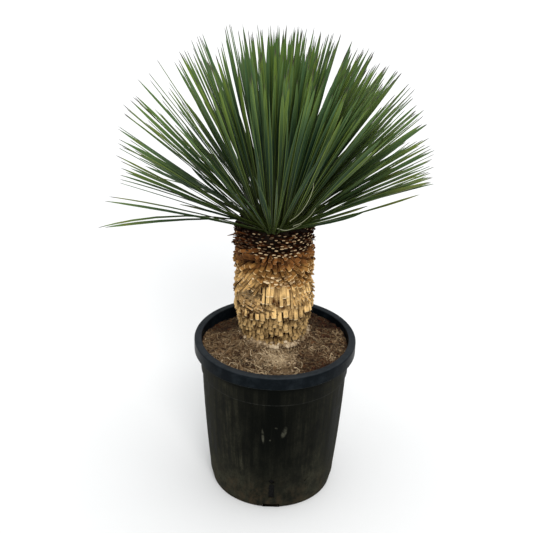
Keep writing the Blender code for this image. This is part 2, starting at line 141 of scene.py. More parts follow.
# Pale mat of fibres in front of the trunk: its centre and how far it reaches
MAT_X = 0.005
MAT_Y = -0.090
MAT_REACH = 0.040
MAT_SHARE = 0.16
# Darker, redder parts of the soil, where shade is painted: place and half width
SHADED_SOIL_PARTS = ((-0.138, 0.080, 0.060), (0.112, 0.100, 0.066), (0.098, -0.116, 0.056))

# Trunk
TRUNK_X = -0.005
TRUNK_Y = 0.035
TRUNK_LEAN = -0.012
TRUNK_FOOT_RADIUS = 0.0775
TRUNK_FOOT_Z = 0.352
STUBS_START = 0.410
# Reach of the stub tips from the trunk's axis, as height and radius
TRUNK_OUTLINE = (
    (0.352, 0.0775), (0.407, 0.0790), (0.430, 0.0850), (0.467, 0.0925), (0.505, 0.0960), (0.542, 0.0925),
    (0.578, 0.0870), (0.614, 0.0925), (0.649, 0.0930), (0.673, 0.0945), (0.700, 0.0930), (0.722, 0.0810),
)
# The dark core follows the outline between these heights, and lies deeper in its upper part. It is
# closed by the cap's rings, as radius and height.
CORE_START = 0.405
CORE_END = 0.704
CORE_STEPS = 23
CORE_DEPTH = 0.008
CORE_DEPTH_ABOVE = 0.014
CORE_DEEPER_FROM = 0.59
CORE_CAP = ((0.070, 0.711), (0.045, 0.717), (0.015, 0.719))
# How far the rows of stubs sag on their way round: degrees from the front, and sag
ROW_SAG = ((-180, 0.0), (-120, 0.004), (-75, 0.012), (0, 0.0), (75, 0.004), (120, 0.002), (180, 0.0))
# How far strips fan out from the front, by height: nearly level high up, upright low
FAN_STEEPNESS = ((0.565, 0.05), (0.590, 0.40), (0.612, 0.85), (0.640, 1.30))
# Sideways lean of other strips from straight down, in radians
SLANTING = -0.62
LEANING_OUT = 0.22
SWIRLING = 1.42
NEARLY_LEVEL = 1.40
# The front's turn from +X, and parts of the way round in degrees from the front
FRONT = -math.pi / 2.0
ALL_ROUND = (-181.0, 181.0)
RIGHT_AND_BACK = (-8.0, 250.0)
BACK_LEFT = (-181.0, -80.0)
# Shapes to copy: corners, then stations as distance, half width and half thickness.
# A peg seen from its cut end, a strip cut off square, a torn shard, a straw and a thread.
PEG = (8, ((0.0, 1.15, 1.0), (0.5, 1.05, 1.0), (0.94, 1.0, 1.0), (1.0, 0.86, 0.80)))
STRIP = (6, ((0.0, 0.80, 0.8), (0.25, 0.95, 1.0), (0.55, 1.0, 1.0), (0.85, 0.98, 1.0), (0.96, 0.95, 0.95),
             (1.0, 0.84, 0.70)))
SHARD = (6, ((0.0, 1.0, 1.0), (0.4, 0.85, 0.9), (0.75, 0.45, 0.6), (1.0, 0.10, 0.2)))
STRAW = (4, tuple((share, 1.0, 0.6) for share in (0.0, 0.2, 0.4, 0.6, 0.8, 1.0)))
THREAD = (4, tuple((share / 12.0, 1.0, 1.0) for share in range(13)))
# Shards that stick out at the sides: degrees from the front, height, how far out, slope, tone
SHARDS = (
    (-92, 0.661, 0.020, -0.30, 1.0), (-88, 0.646, 0.011, -0.10, 0.1), (-95, 0.640, 0.008, 0.10, 0.2),
    (-80, 0.672, 0.006, 0.20, 0.2), (88, 0.668, 0.006, 0.10, 0.2), (92, 0.655, 0.007, -0.20, 0.1),
    (86, 0.641, 0.006, -0.30, 0.3), (94, 0.632, 0.005, 0.00, 0.2),
)
# Three fine curled threads at the right of the front, between the lowest leaves
THREADS = (
    ((-0.006, -0.058, 0.727), (0.014, -0.072, 0.726), (0.034, -0.078, 0.735), (0.054, -0.080, 0.749)),
    ((0.018, -0.060, 0.742), (0.038, -0.085, 0.764), (0.059, -0.090, 0.794), (0.073, -0.090, 0.830),
     (0.075, -0.088, 0.853), (0.069, -0.086, 0.874)),
    ((0.030, -0.055, 0.730), (0.052, -0.080, 0.750), (0.071, -0.086, 0.772), (0.083, -0.086, 0.793)),
)
THREAD_HALF = 0.0009
THREAD_FLATTENING = 0.3
THREAD_BEND = 0.07

# Leaf head
HEAD_CENTRE = Vector((-0.010, 0.035, 0.699))
HEAD_LEAN = math.radians(8)
LEAF_COUNT = 326
LEAF_SEED = 162
LEAF_SPREAD = math.radians(74)
LEAF_SPREAD_POWER = 0.75
LEAF_ROOT_SPREAD = 1.2
LEAF_ROOT_SPREAD_LIMIT = math.radians(88)
LEAF_ROOT_RADIUS = 0.036
LEAF_ROOT_SLOPE = 0.034
LEAF_ROOT_RISE = 0.014
# Reach of the leaf tips from the head's centre, as degrees from its axis and reach
LEAF_REACH = ((0, 0.462), (20, 0.466), (40, 0.460), (50, 0.447), (60, 0.422), (70, 0.395), (82, 0.372))
# Between these degrees in the front view the leaves reach a little further
FAR_SIDE = (-66.0, -8.0)
FAR_SIDE_REACH = 1.02
LEAF_SHORTEST = 0.93
LEAF_JITTER = math.radians(2.3)
LEAF_TWIST = math.radians(16)
LEAF_ARCH = 0.010
YOUNG_LEAF_WIDTH = 0.70
GOLDEN_ANGLE = math.pi * (3.0 - math.sqrt(5.0))
# Leaves at the front stand more upright: by what share, and how narrow that front is
FRONT_UPRIGHT = 0.5
FRONT_NARROWING = 2.5
# Where the head parts in the front view: degrees from upright, and half of the gap
PARTINGS = ((-54.0, 1.2), (-33.5, 1.6), (-26.5, 1.0), (21.5, 1.9), (42.5, 1.8), (59.5, 1.4))
# Finer leaves fill the head
FILL_LEAVES = 940
FILL_SEED = 7
FILL_SHORTEST = 0.80
# By degrees in the front view: the share kept of the fill leaves and of the main ones, and how wide
# the leaves are, because the head is open at its left side
FILL_SHARE = (
    (-90, 0.10), (-74, 0.10), (-66, 0.20), (-59, 0.03), (-46, 0.14), (-36, 0.06), (-24, 0.25), (-18, 0.05),
    (2, 0.08), (14, 0.55), (22, 1.00), (38, 1.00), (42, 0.65), (60, 0.60), (75, 0.40), (90, 0.30),
)
MAIN_SHARE = (
    (-90, 0.12), (-76, 0.48), (-66, 0.66), (-57, 0.38), (-50, 0.75), (-34, 0.72), (-24, 0.95), (-18, 0.78),
    (-2, 0.70), (8, 1.00), (72, 1.00), (84, 0.60),
)
LEAF_WIDTHS = (
    (-76, 0.84), (-64, 0.86), (-58, 0.68), (-34, 0.64), (-22, 0.72), (10, 0.74), (22, 0.94), (36, 0.90),
    (45, 0.82),
)
# The lowest leaves stand apart: turn from +X, height angle, reach, arch
LOW_LEAVES = (
    (184, -1.5, 0.418, 0.016), (177, -4.5, 0.412, 0.010), (186, 9.0, 0.402, 0.010), (179, 8.0, 0.396, 0.008),
    (172, 11.0, 0.385, 0.004), (-20, 20.5, 0.365, -0.007), (-30, 22.0, 0.245, -0.004),
    (48, 4.0, 0.392, 0.008), (75, 2.0, 0.400, 0.010), (104, 0.5, 0.405, 0.012), (141, 2.0, 0.400, 0.010),
)
LOW_LEAF_WIDTH = 0.72
LOW_ROOT_RADIUS = 0.070
# A few leaves lean out to the front, below the upright ones: turn, height angle, reach, arch, width
FRONT_LEAVES = (
    (-104, 56.0, 0.445, 0.004, 0.65), (-95, 60.0, 0.450, 0.002, 0.65), (-86, 58.0, 0.445, 0.002, 0.60),
    (-77, 57.0, 0.445, 0.002, 0.65), (-97, 42.9, 0.400, 0.006, 0.62), (-101, 40.3, 0.330, 0.008, 0.62),
    (-90, 40.1, 0.330, 0.004, 0.45), (-85, 38.8, 0.280, 0.006, 0.45), (-67, 47.5, 0.420, 0.006, 0.60),
    (-74, 41.5, 0.360, 0.008, 0.50), (-112, 36.8, 0.360, 0.006, 0.70), (-109, 34.8, 0.300, 0.006, 0.55),
    (-95, 35.3, 0.200, 0.004, 0.45),
)
# Their finish begins this far along, past the darkest painted shade of a leaf's base
FRONT_PALE_FROM = 0.10
# The front leaves start close to one point at the front of the trunk's top, and so do more leaves,
# which sweep from there to one side: turn from +X, count, lowest and highest height angle, and
# reach at both
FRONT_ROOT = Vector((-0.012, -0.053, 0.711))
SWEPT_LEAVES = (
    (186.0, 5, 17.0, 30.0, 0.375, 0.405), (182.0, 6, 30.0, 45.0, 0.425, 0.450),
    (188.0, 3, 10.0, 20.0, 0.200, 0.260), (176.0, 9, 32.0, 48.0, 0.230, 0.330),
    (-4.0, 8, 16.0, 33.0, 0.375, 0.410), (-8.0, 4, 12.0, 22.0, 0.200, 0.290),
)
# Stations along a leaf: share of its length and half width; the last is the tip.
# A leaf that points at the camera is drawn out to its tip much longer.
LEAF_STATIONS = (
    (0.00, 0.0040), (0.06, 0.0024), (0.20, 0.0030), (0.40, 0.0045), (0.60, 0.0059), (0.76, 0.0064),
    (0.87, 0.0053), (0.94, 0.0031), (0.98, 0.0012), (1.00, 0.0),
)
FRONT_STATIONS = (
    (0.00, 0.0034), (0.06, 0.0022), (0.20, 0.0040), (0.38, 0.0060), (0.52, 0.0058), (0.66, 0.0046),
    (0.80, 0.0028), (0.92, 0.0011), (1.00, 0.0),
)
LEAF_DENT = 1.35


# Node materials

class Finish:
    """A procedural material as it is put together, with short ways to add its nodes."""

    def __init__(self, name):
        self.material = bpy.data.materials.new(name)
        self.material.use_nodes = True
        self.nodes = self.material.node_tree.nodes
        self.colour = None

    def fill(self, socket, value):
        """Set a socket to a value, or link it to another node's output."""
        if isinstance(value, bpy.types.NodeSocket):
            self.material.node_tree.links.new(value, socket)
        elif isinstance(value, tuple) and socket.type == "RGBA":
            socket.default_value = (*value, 1.0)
        else:
            socket.default_value = value

    def add(self, kind, inputs, **settings):
        node = self.nodes.new(kind)
        for name, value in settings.items():
            setattr(node, name, value)
        for name, value in inputs.items():
            self.fill(node.inputs[name], value)
        return node

    def done(self, **values):
        """Fill the shader's sockets, where an underscore stands for a space, and give the material."""
        for name, value in values.items():
            self.fill(self.nodes["Principled BSDF"].inputs[name.replace("_", " ")], value)
        self.fill(self.nodes["Principled BSDF"].inputs["Base Color"], self.colour)
        return self.material

    def split(self, vector):
        return self.add("ShaderNodeSeparateXYZ", {0: vector}).outputs

    def place(self):
        """The piece's own attribute: the whole, across, along, and each copy's tone and age."""
        found = self.add("ShaderNodeAttribute", {}, attribute_name="place").outputs
        return (found["Vector"], *self.split(found["Vector"]), found["Alpha"])

    def spot(self, scale=(1, 1, 1), shift=(0, 0, 0), vector=None):
        """Object coordinates, or another vector, stretched and shifted."""
        if vector is None:
            vector = self.add("ShaderNodeTexCoord", {}).outputs["Object"]
        return self.add("ShaderNodeMapping", {"Vector": vector, "Scale": scale, "Location": shift}).outputs[0]

    def noise(self, vector, scale, detail, roughness, distortion=0):
        inputs = {"Vector": vector, "Scale": scale, "Detail": detail, "Roughness": roughness,
                  "Distortion": distortion}
        return self.add("ShaderNodeTexNoise", inputs).outputs[0]

    def patch(self, centre, size, turn=0):
        """A soft spot on the piece, turned in the front view: 1 at its centre, 0 from its edge outwards."""
        spot = self.add("ShaderNodeTexCoord", {}).outputs["Object"]
        inputs = {"Vector": spot, "Location": centre, "Rotation": (0, math.radians(turn), 0), "Scale": size}
        inside = self.add("ShaderNodeMapping", inputs, vector_type="TEXTURE").outputs[0]
        return self.add("ShaderNodeTexGradient", {"Vector": inside}, gradient_type="SPHERICAL").outputs[1]

    def join(self, kind, first, *others):
        """One value from several, taken together in turn."""
        for other in others:
            first = self.add("ShaderNodeMath", {0: first, 1: other}, operation=kind).outputs[0]
        return first

    def times(self, *factors):
        return self.join("MULTIPLY", *factors)

    def plus(self, *terms):
        return self.join("ADD", *terms)

    def absolute(self, value):
        return self.add("ShaderNodeMath", {0: value}, operation="ABSOLUTE").outputs[0]

    def band(self, value, low, high, bottom=0, top=1):
        """Rise smoothly from bottom to top as the value goes from low to high."""
        inputs = {"Value": value, "From Min": low, "From Max": high, "To Min": bottom, "To Max": top}
        return self.add("ShaderNodeMapRange", inputs, interpolation_type="SMOOTHSTEP").outputs[0]

    def mix(self, share, first, second, blend="MIX"):
        node = self.add("ShaderNodeMix", {}, data_type="RGBA", blend_type=blend)
        for socket, value in ((0, share), (6, first), (7, second)):
            self.fill(node.inputs[socket], value)
        return node.outputs[2]

    def paint(self, share, colour):
        """Lay a colour over what is there."""
        self.colour = self.mix(share, self.colour, colour)

    def stain(self, share, colour):
        """Darken what is there by a colour, as a stain does."""
        self.paint(share, self.mix(1, self.colour, colour, "MULTIPLY"))

    def ramp(self, share, *stops):
        """Colours along a scale, each stop as a position and a colour."""
        node = self.add("ShaderNodeValToRGB", {0: share})
        while len(node.color_ramp.elements) < len(stops):
            node.color_ramp.elements.new(0.5)
        for element, (position, colour) in zip(node.color_ramp.elements, stops):
            element.position = position
            element.color = (*colour, 1.0)
        return node.outputs[0]

    def bump(self, height, distance, strength, under=None):
        inputs = {"Height": height, "Distance": distance, "Strength": strength}
        if under is not None:
            inputs["Normal"] = under
        return self.add("ShaderNodeBump", inputs).outputs[0]


# Modelling

def start(item):
    """Make one object the only selected and active one, or none."""
    bpy.ops.object.select_all(action="DESELECT")
    if item:
        item.select_set(True)
        bpy.context.view_layer.objects.active = item


def edit(item, select):
    """Open an object's mesh for modelling, with all of it selected or nothing."""
    start(item)
    bpy.ops.object.mode_set(mode="EDIT")
    bpy.ops.mesh.select_all(action=select)
    return bmesh.from_edit_mesh(item.data)


def close_edit(item):
    bmesh.update_edit_mesh(item.data)
    bpy.ops.object.mode_set(mode="OBJECT")


def read_outline(outline, place):
    """Value at a place, straight between the outline's points."""
    return np.interp(place, *zip(*outline))


def draw_up(rise, wider, deeper, level):
    """Extrude what is selected by a rise, and stretch it about the axis there."""
    bpy.ops.mesh.extrude_region_move(TRANSFORM_OT_translate={"value": (0.0, 0.0, rise)})
    if wider:
        bpy.ops.transform.resize(value=(wider, deeper, 1.0), center_override=(0.0, 0.0, level))
    else:
        bpy.ops.mesh.merge(type="CENTER")


def close_drawing():
    bpy.ops.mesh.select_all(action="SELECT")
    bpy.ops.mesh.normals_make_consistent(inside=False)
    bpy.ops.object.mode_set(mode="OBJECT")


def draw_out(corners, stations, dent=0.0):
    """Draw a flat section out along +Z, by hand, and take its points and faces.

    A station is its distance, half width along X and half thickness along Y. The dent
    pulls the upper corner of the section down, as a share of its half thickness.
    """
    start(None)
    bpy.ops.mesh.primitive_circle_add(vertices=corners, radius=1.0, fill_type="NGON")
    item = bpy.context.object
    drawing = edit(item, "SELECT")
    if dent:
        bpy.ops.mesh.select_all(action="DESELECT")
        for vertex in drawing.verts:
            vertex.select_set(vertex.co.y > 0.9)
        bmesh.update_edit_mesh(item.data)
        bpy.ops.transform.translate(value=(0.0, -dent, 0.0))
        bpy.ops.mesh.select_all(action="SELECT")
    distance, width, thickness = stations[0]
    bpy.ops.transform.resize(value=(width, thickness, 1.0), center_override=(0.0, 0.0, 0.0))
    for further, wider, thicker in stations[1:]:
        draw_up(further - distance, wider / width, thicker / thickness, further)
        distance, width, thickness = further, wider, thicker
    close_drawing()
    return read_shape(item)


def draw_rings(sides, rings, name):
    """Turn a closed form by hand: a flat disc drawn up, ring by ring, as radius and height."""
    start(None)
    radius, height = rings[0]
    bpy.ops.mesh.primitive_circle_add(vertices=sides, radius=radius, fill_type="NGON",
                                      location=(0.0, 0.0, height))
    item = bpy.context.object
    item.name = name
    bpy.ops.object.transform_apply(location=True, rotation=True, scale=True)
    edit(item, "SELECT")
    for wider, higher in rings[1:]:
        draw_up(higher - height, wider / radius, wider / radius, higher)
        radius, height = wider, higher
    close_drawing()
    return item


def read_shape(item):
    """Take a modelled shape's points and faces, and remove the object."""
    points = np.zeros(len(item.data.vertices) * 3)
    item.data.vertices.foreach_get("co", points)
    faces = [tuple(face.vertices) for face in item.data.polygons]
    bpy.data.objects.remove(item, do_unlink=True)
    return points.reshape(-1, 3), faces


def arc(centre_radius, centre_height, radius, begin, end, steps):
    """Points of a round edge, as radius and height, from one angle to another in degrees."""
    points = []
    for step in range(steps + 1):
        angle = math.radians(begin + (end - begin) * step / steps)
        points.append((centre_radius + radius * math.cos(angle), centre_height + radius * math.sin(angle)))
    return points


def combine(item, tools, operation):
    """Fuse the tools to the item, or cut them from it, and remove them."""
    for tool in tools:
        start(item)
        boolean = item.modifiers.new(operation.title(), "BOOLEAN")
        boolean.operation = operation
        boolean.object = tool
        boolean.solver = "EXACT"
        bpy.ops.object.modifier_apply(modifier=boolean.name)
        bpy.data.objects.remove(tool, do_unlink=True)


def hand_over(item, material, crease):
    """Finish a piece: its material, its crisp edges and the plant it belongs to."""
    item.data.materials.append(material)
    start(item)
    bpy.ops.object.shade_smooth_by_angle(angle=math.radians(crease))
    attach(item, "root")
    return item


class Copies:
    """Copies of modelled shapes, each set in its own place, and joined into one piece."""

    def __init__(self):
        self.points = []
        self.places = []
        self.faces = []
        self.count = 0

    def add(self, points, faces, across, along, tone, age=0.0):
        """Add a copy's points and faces, and for each point what its finish needs to know."""
        size = len(points)
        self.points.append(points)
        self.places.append(np.stack([across, along, np.full(size, tone), np.full(size, age)], axis=1))
        self.faces.extend(tuple(self.count + corner for corner in face) for face in faces)
        self.count += size

    def join(self, name, material, slot, crease):
        mesh = bpy.data.meshes.new(name)
        mesh.from_pydata(np.concatenate(self.points).tolist(), [], self.faces)
        attribute = mesh.attributes.new("place", "FLOAT_COLOR", "POINT")
        attribute.data.foreach_set("color", np.concatenate(self.places).ravel())
        item = bpy.data.objects.new(name, mesh)
        bpy.context.scene.collection.objects.link(item)
        return hand_over(item, material, crease)


# Pot

def body_radius(height):
    """Outside of the pot's body: a cone that the soil has bulged a little."""
    share = (height - CHAMFER_TOP) / (BODY_TOP - CHAMFER_TOP)
    cone = BODY_LOW_RADIUS + (BODY_TOP_RADIUS - BODY_LOW_RADIUS) * share
    return cone + BODY_BULGE * 4.0 * share * (1.0 - share)


def inner_outline():
    """Inside of the pot's wall, from the floor up, as height and radius."""
    outline = [(FLOOR, FOOT_RADIUS - WALL)]
    outline += [(height, body_radius(height) - WALL) for height in INNER_HEIGHTS]
    outline += [(COLLAR_BOTTOM, COLLAR_LOW_RADIUS - WALL), (POT_HEIGHT - RIM_ROUND_IN, RIM_INNER_RADIUS)]
    return outline


def pot_rings():
    """The pot's outline, out from under its foot, up, over the rim and down inside."""
    rings = arc(FOOT_RADIUS - FOOT_ROUND, FOOT_ROUND, FOOT_ROUND, -90, 0, 3)
    # The chamfer turns into the body over 5 mm
    rings += [
        (BODY_LOW_RADIUS - 0.0006, CHAMFER_TOP - 0.003),
        (BODY_LOW_RADIUS + 0.0002, CHAMFER_TOP + 0.002),
    ]
    for step in range(FLUTE_STEPS + 1):
        height = FLUTE_STARTS + (FLUTE_ENDS - FLUTE_STARTS) * step / FLUTE_STEPS
        rings.append((body_radius(height), height))
    lip_roof = POT_HEIGHT - LIP
    lip_inside = RIM_RADIUS - LIP
    rings += [
        (BODY_TOP_RADIUS, BODY_TOP),
        (BODY_TOP_RADIUS + COLLAR_STEP, BODY_TOP + SOFT_EDGE),
        (COLLAR_LOW_RADIUS, COLLAR_BOTTOM),
        (COLLAR_TOP_RADIUS, lip_roof),
        (lip_inside, lip_roof),
        (lip_inside, RIM_BOTTOM + SOFT_EDGE),
        (lip_inside + SOFT_EDGE, RIM_BOTTOM),
        (RIM_RADIUS - LIP_EDGE, RIM_BOTTOM),
        (RIM_RADIUS, RIM_BOTTOM + LIP_EDGE),
    ]
    rings += arc(RIM_RADIUS - RIM_ROUND_OUT, POT_HEIGHT - RIM_ROUND_OUT, RIM_ROUND_OUT, 0, 90, 6)
    rings += arc(RIM_INNER_RADIUS + RIM_ROUND_IN, POT_HEIGHT - RIM_ROUND_IN, RIM_ROUND_IN, 90, 180, 4)
    rings += [(radius, height) for height, radius in reversed(inner_outline()[:-1])]
    return rings


def press_flutes(pot):
    """Press shallow upright flutes into the body, with a rib between each two."""
    drawing = edit(pot, "DESELECT")
    for vertex in drawing.verts:
        x, y, z = vertex.co
        radius = math.hypot(x, y)
        if not FLUTE_STARTS - 0.001 < z < FLUTE_ENDS + 0.001 or radius < body_radius(z) - 0.5 * WALL:
            continue
        share = math.atan2(y, x) * FLUTE_COUNT / (2.0 * math.pi) % 1.0
        press = FLUTE_DEPTH * min(1.0, 4.0 * min(share, 1.0 - share)) / radius
        vertex.co.x -= x * press
        vertex.co.y -= y * press
    close_edit(pot)


def block(centre, size, turn=0.0, lean=0.0):
    """A cutter: a cube at its size and place, turned about the pot's axis."""
    start(None)
    bpy.ops.mesh.primitive_cube_add(size=1.0, location=centre)
    item = bpy.context.object
    item.scale = size
    item.rotation_euler = (lean, 0.0, 0.0)
    bpy.ops.object.transform_apply(location=False, rotation=True, scale=True)
    bpy.ops.object.transform_apply(location=True, rotation=False, scale=False)
    item.rotation_euler = (0.0, 0.0, turn)
    bpy.ops.object.transform_apply(location=False, rotation=True, scale=False)
    return item


def round_top(item, width):
    """Bevel a block's two upper lengthwise edges into a half round."""
    top = max(vertex.co.z for vertex in item.data.vertices)
    drawing = edit(item, "DESELECT")
    for edge in drawing.edges:
        level = min(vertex.co.z for vertex in edge.verts) > top - 1e-5
        edge.select_set(level and edge.calc_length() > width * 1.5)
    bmesh.update_edit_mesh(item.data)
    bpy.ops.mesh.bevel(offset=0.499 * width, segments=8)
    bpy.ops.object.mode_set(mode="OBJECT")
    return item


def drain_turn(drain):
    return 2.0 * math.pi * drain / len(DRAIN_SIDES) - math.pi / 2.0


def build_pot():
    """The moulded pot, with its drain slots and the channels under its foot."""
    pot = draw_rings(POT_SIDES, pot_rings(), "nursery_pot")
    press_flutes(pot)
    pockets = []
    cutters = []
    pocket_top = CHANNEL_HEIGHT + POCKET_WALL
    pocket_middle = 0.5 * (CHANNEL_INNER - POCKET_WALL + POCKET_OUTER)
    pocket_size = (POCKET_OUTER - CHANNEL_INNER + POCKET_WALL, CHANNEL_WIDTH + 2.0 * POCKET_WALL,
                   pocket_top - 0.5 * FLOOR)
    outer = FOOT_RADIUS + CUT_MARGIN
    for drain in range(len(DRAIN_SIDES)):
        turn = drain_turn(drain)
        pockets.append(block((pocket_middle, 0.0, 0.5 * (0.5 * FLOOR + pocket_top)), pocket_size, turn))
        cutters.append(block((0.5 * (CHANNEL_INNER + outer), 0.0, 0.5 * (CHANNEL_HEIGHT - CUT_MARGIN)),
                             (outer - CHANNEL_INNER, CHANNEL_WIDTH, CHANNEL_HEIGHT + CUT_MARGIN), turn))
        slot = block((SLOT_CUT_PLACE, 0.0, 0.5 * (SLOT_BOTTOM + SLOT_TOP)),
                     (SLOT_CUT_LENGTH, SLOT_WIDTH, SLOT_TOP - SLOT_BOTTOM), turn)
        cutters.append(round_top(slot, SLOT_WIDTH))
    for centre, size, turn, lean in BROKEN_CUTS:
        cutters.append(block(centre, size, math.radians(turn), math.radians(lean)))
    combine(pot, pockets, "UNION")
    combine(pot, cutters, "DIFFERENCE")
    pot.data.materials.clear()
    hand_over(pot, pot_plastic(), POT_CREASE)
    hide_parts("pot")


def pot_plastic():
    """Black moulded plastic: dusty and streaked, with brown dirt low down and pale scuffs."""
    coat = Finish("dusty_black_plastic")
    x, _, height = coat.split(coat.spot())
    streaks = coat.noise(coat.spot((95, 95, 3.4)), 1, 6, 0.65)
    runs = coat.noise(coat.spot((30, 30, 1.6)), 1, 3, 0.5)
    blotches = coat.noise(coat.spot(), 30, 7, 0.74)
    grit = coat.noise(coat.spot(), 380, 3, 0.65)
    # The body is coloured a darker black than the rim: partly the plastic's finish, partly painted shade
    # under the rim
    body = coat.band(height, 0.376, 0.372)
    coat.colour = coat.mix(body, (0.0026, 0.0042, 0.0056), (0.0008, 0.0012, 0.0006))
    # Dust lies thicker towards the foot; the lighter left and right sides are partly dust, partly painted
    # sheen where the body turns away
    thick = coat.plus(coat.band(x, -0.030, -0.120, 0.06, 0.74), coat.band(x, 0.030, 0.120, 0, 0.46),
                      coat.band(height, 0.24, 0.04, 0, 0.42), coat.band(runs, 0.40, 0.62, -0.10, 0.14))
    lines = coat.join("MAXIMUM", coat.band(streaks, 0.40, 0.64, 0.30), coat.band(height, 0.20, 0.06, 0, 0.75))
    dust = coat.times(lines, coat.band(blotches, 0.34, 0.62, 0.35), coat.band(grit, 0.30, 0.60, 0.45), thick,
                      coat.band(height, 0.374, 0.350))
    coat.paint(dust, (0.040, 0.039, 0.026))
    worn = coat.times(coat.band(height, 0.374, 0.378), coat.band(blotches, 0.44, 0.66, 0, 0.30))
    coat.paint(worn, (0.020, 0.026, 0.031))
    # Brown dirt low down, most of it at the left
    dirt = coat.noise(coat.spot((1, 1, 0.5)), 44, 6, 0.72)
    dirt = coat.times(coat.band(dirt, 0.44, 0.66), coat.band(height, 0.115, 0.010),
                      coat.band(x, 0.06, -0.11, 0.45, 0.95))
    coat.paint(dirt, (0.042, 0.030, 0.017))
    # Pale scuffs at the front: two long ones, a dash and a dot
    scuffs = coat.join("MAXIMUM", coat.patch((-0.0245, -0.176, 0.2305), (0.0042, 0.02, 0.029), -4),
                       coat.patch((0.0265, -0.176, 0.2440), (0.0085, 0.02, 0.021), 14),
                       coat.patch((0.0065, -0.178, 0.2576), (0.0060, 0.02, 0.0028), 24),
                       coat.patch((-0.0070, -0.176, 0.2204), (0.0030, 0.02, 0.0034)))
    scuffs = coat.times(coat.band(scuffs, 0.05, 0.60), coat.band(blotches, 0.40, 0.58, 0.10), 0.6)
    coat.paint(scuffs, (0.075, 0.075, 0.054))
    # Painted highlights along the moulded edges: the collar's, the rim's lower and its rounded upper one
    painted_edge_highlight = coat.join("MAXIMUM", coat.patch((0, 0, 0.3252), (0.60, 0.60, 0.0022)),
                       coat.patch((0, 0, 0.3796), (0.60, 0.60, 0.0012)))
    painted_edge_highlight = coat.times(coat.band(painted_edge_highlight, 0.35, 0.70, 0, 0.75), coat.band(streaks, 0.38, 0.60, 0.25))
    coat.paint(painted_edge_highlight, (0.030, 0.031, 0.026))
    # Painted highlight along the rim's rounded top, mottled
    top = coat.times(coat.band(height, 0.4075, 0.4108), coat.band(blotches, 0.30, 0.60, 0.55))
    coat.paint(top, (0.026, 0.030, 0.034))
    rough = coat.band(coat.plus(dust, coat.times(body, 0.30)), 0, 0.9, 0.34, 0.80)
    relief = coat.bump(streaks, 0.0008, 0.6, coat.bump(grit, 0.00030, 0.6))
    return coat.done(Roughness=rough, Normal=relief, Specular_IOR_Level=0.03)


def channel_shade_finish():
    # Near-black, as painted shade where the channels lie dark
    coat = Finish("channel_shade_finish")
    lumps = coat.noise(coat.spot(), 300, 4, 0.7)
    coat.colour = coat.ramp(lumps, (0.35, (0.0010, 0.0008, 0.0005)), (0.70, (0.0060, 0.0045, 0.0030)))
    return coat.done(Roughness=0.85, Normal=coat.bump(lumps, 0.0010, 0.8), Specular_IOR_Level=0.02)


def build_channel_shade():
    """Near-black fills in the channels under the foot, painted shade, lower and rougher outwards."""
    material = channel_shade_finish()
    for drain, side in enumerate(DRAIN_SIDES):
        wedge = block(*CHANNEL_SHADE_BLOCK)
        edit(wedge, "SELECT")
        bpy.ops.mesh.subdivide(number_cuts=CHANNEL_SHADE_CUTS)
        bpy.ops.object.mode_set(mode="OBJECT")
        for vertex in wedge.data.vertices:
            x, y, z = vertex.co
            if z > 0.002:
                out = (x - CHANNEL_INNER) / (FOOT_RADIUS - CHANNEL_INNER)
                vertex.co.z -= 0.0015 * out ** 3 + 0.0010 * noise.noise(Vector((x * 160.0, y * 160.0, drain)))
        wedge.name = "painted_channel_shade_" + side
        wedge.data.transform(Matrix.Rotation(drain_turn(drain), 4, "Z"))
        hand_over(wedge, material, 40)


# Soil

def from_trunk(x, y):
    return np.hypot(x - TRUNK_X, y - TRUNK_Y) - TRUNK_FOOT_RADIUS


def soil_height(x, y):
    """Top of the soil: a mound round the trunk, a hollow at the back left, and lumps."""
    mound = SOIL_MOUND * math.exp(-(from_trunk(x, y) / SOIL_MOUND_WIDTH) ** 2)
    turn = math.atan2(y, x) - SOIL_HOLLOW_TURN
    turn = math.atan2(math.sin(turn), math.cos(turn))
    out = min(1.0, math.hypot(x, y) / COLLAR_LOW_RADIUS)
    hollow = SOIL_HOLLOW * math.exp(-(turn / SOIL_HOLLOW_SPREAD) ** 2) * out ** 4
    lumps = sum(rise * noise.noise(Vector((x * close, y * close, part))) for rise, close, part in SOIL_LUMPS)
    return SOIL_LEVEL + mound - hollow + lumps


def soil_edge(gap):
    return read_outline(inner_outline(), SOIL_LEVEL) - gap


def in_shaded_part(x, y, share):
    return any(math.hypot(x - shade_x, y - shade_y) < share * wide for shade_x, shade_y, wide in SHADED_SOIL_PARTS)


def build_soil():
    """The soil, filling the pot, with a lumpy top."""
    outline = inner_outline()
    bed = CHANNEL_HEIGHT + POCKET_WALL + GAP
    rings = [(SOIL_BED_RADIUS, FLOOR + GAP), (SOIL_BED_TOP_RADIUS, bed)]
    rings.append((read_outline(outline, bed) - GAP, bed))
    rings += [(radius - GAP, height) for height, radius in outline[1:-1]]
    edge = soil_edge(SOIL_EDGE_GAP)
    for ring in range(SOIL_RINGS + 1):
        rings.append((edge * (1.0 - SOIL_INNER_SHARE * ring / SOIL_RINGS), SOIL_LEVEL))
    soil = draw_rings(SOIL_SIDES, rings, "potting_soil")
    for vertex in soil.data.vertices:
        if vertex.co.z > SOIL_LEVEL - 1e-4:
            vertex.co.z = soil_height(vertex.co.x, vertex.co.y)
    hand_over(soil, soil_mix(), 60)
    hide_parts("soil")


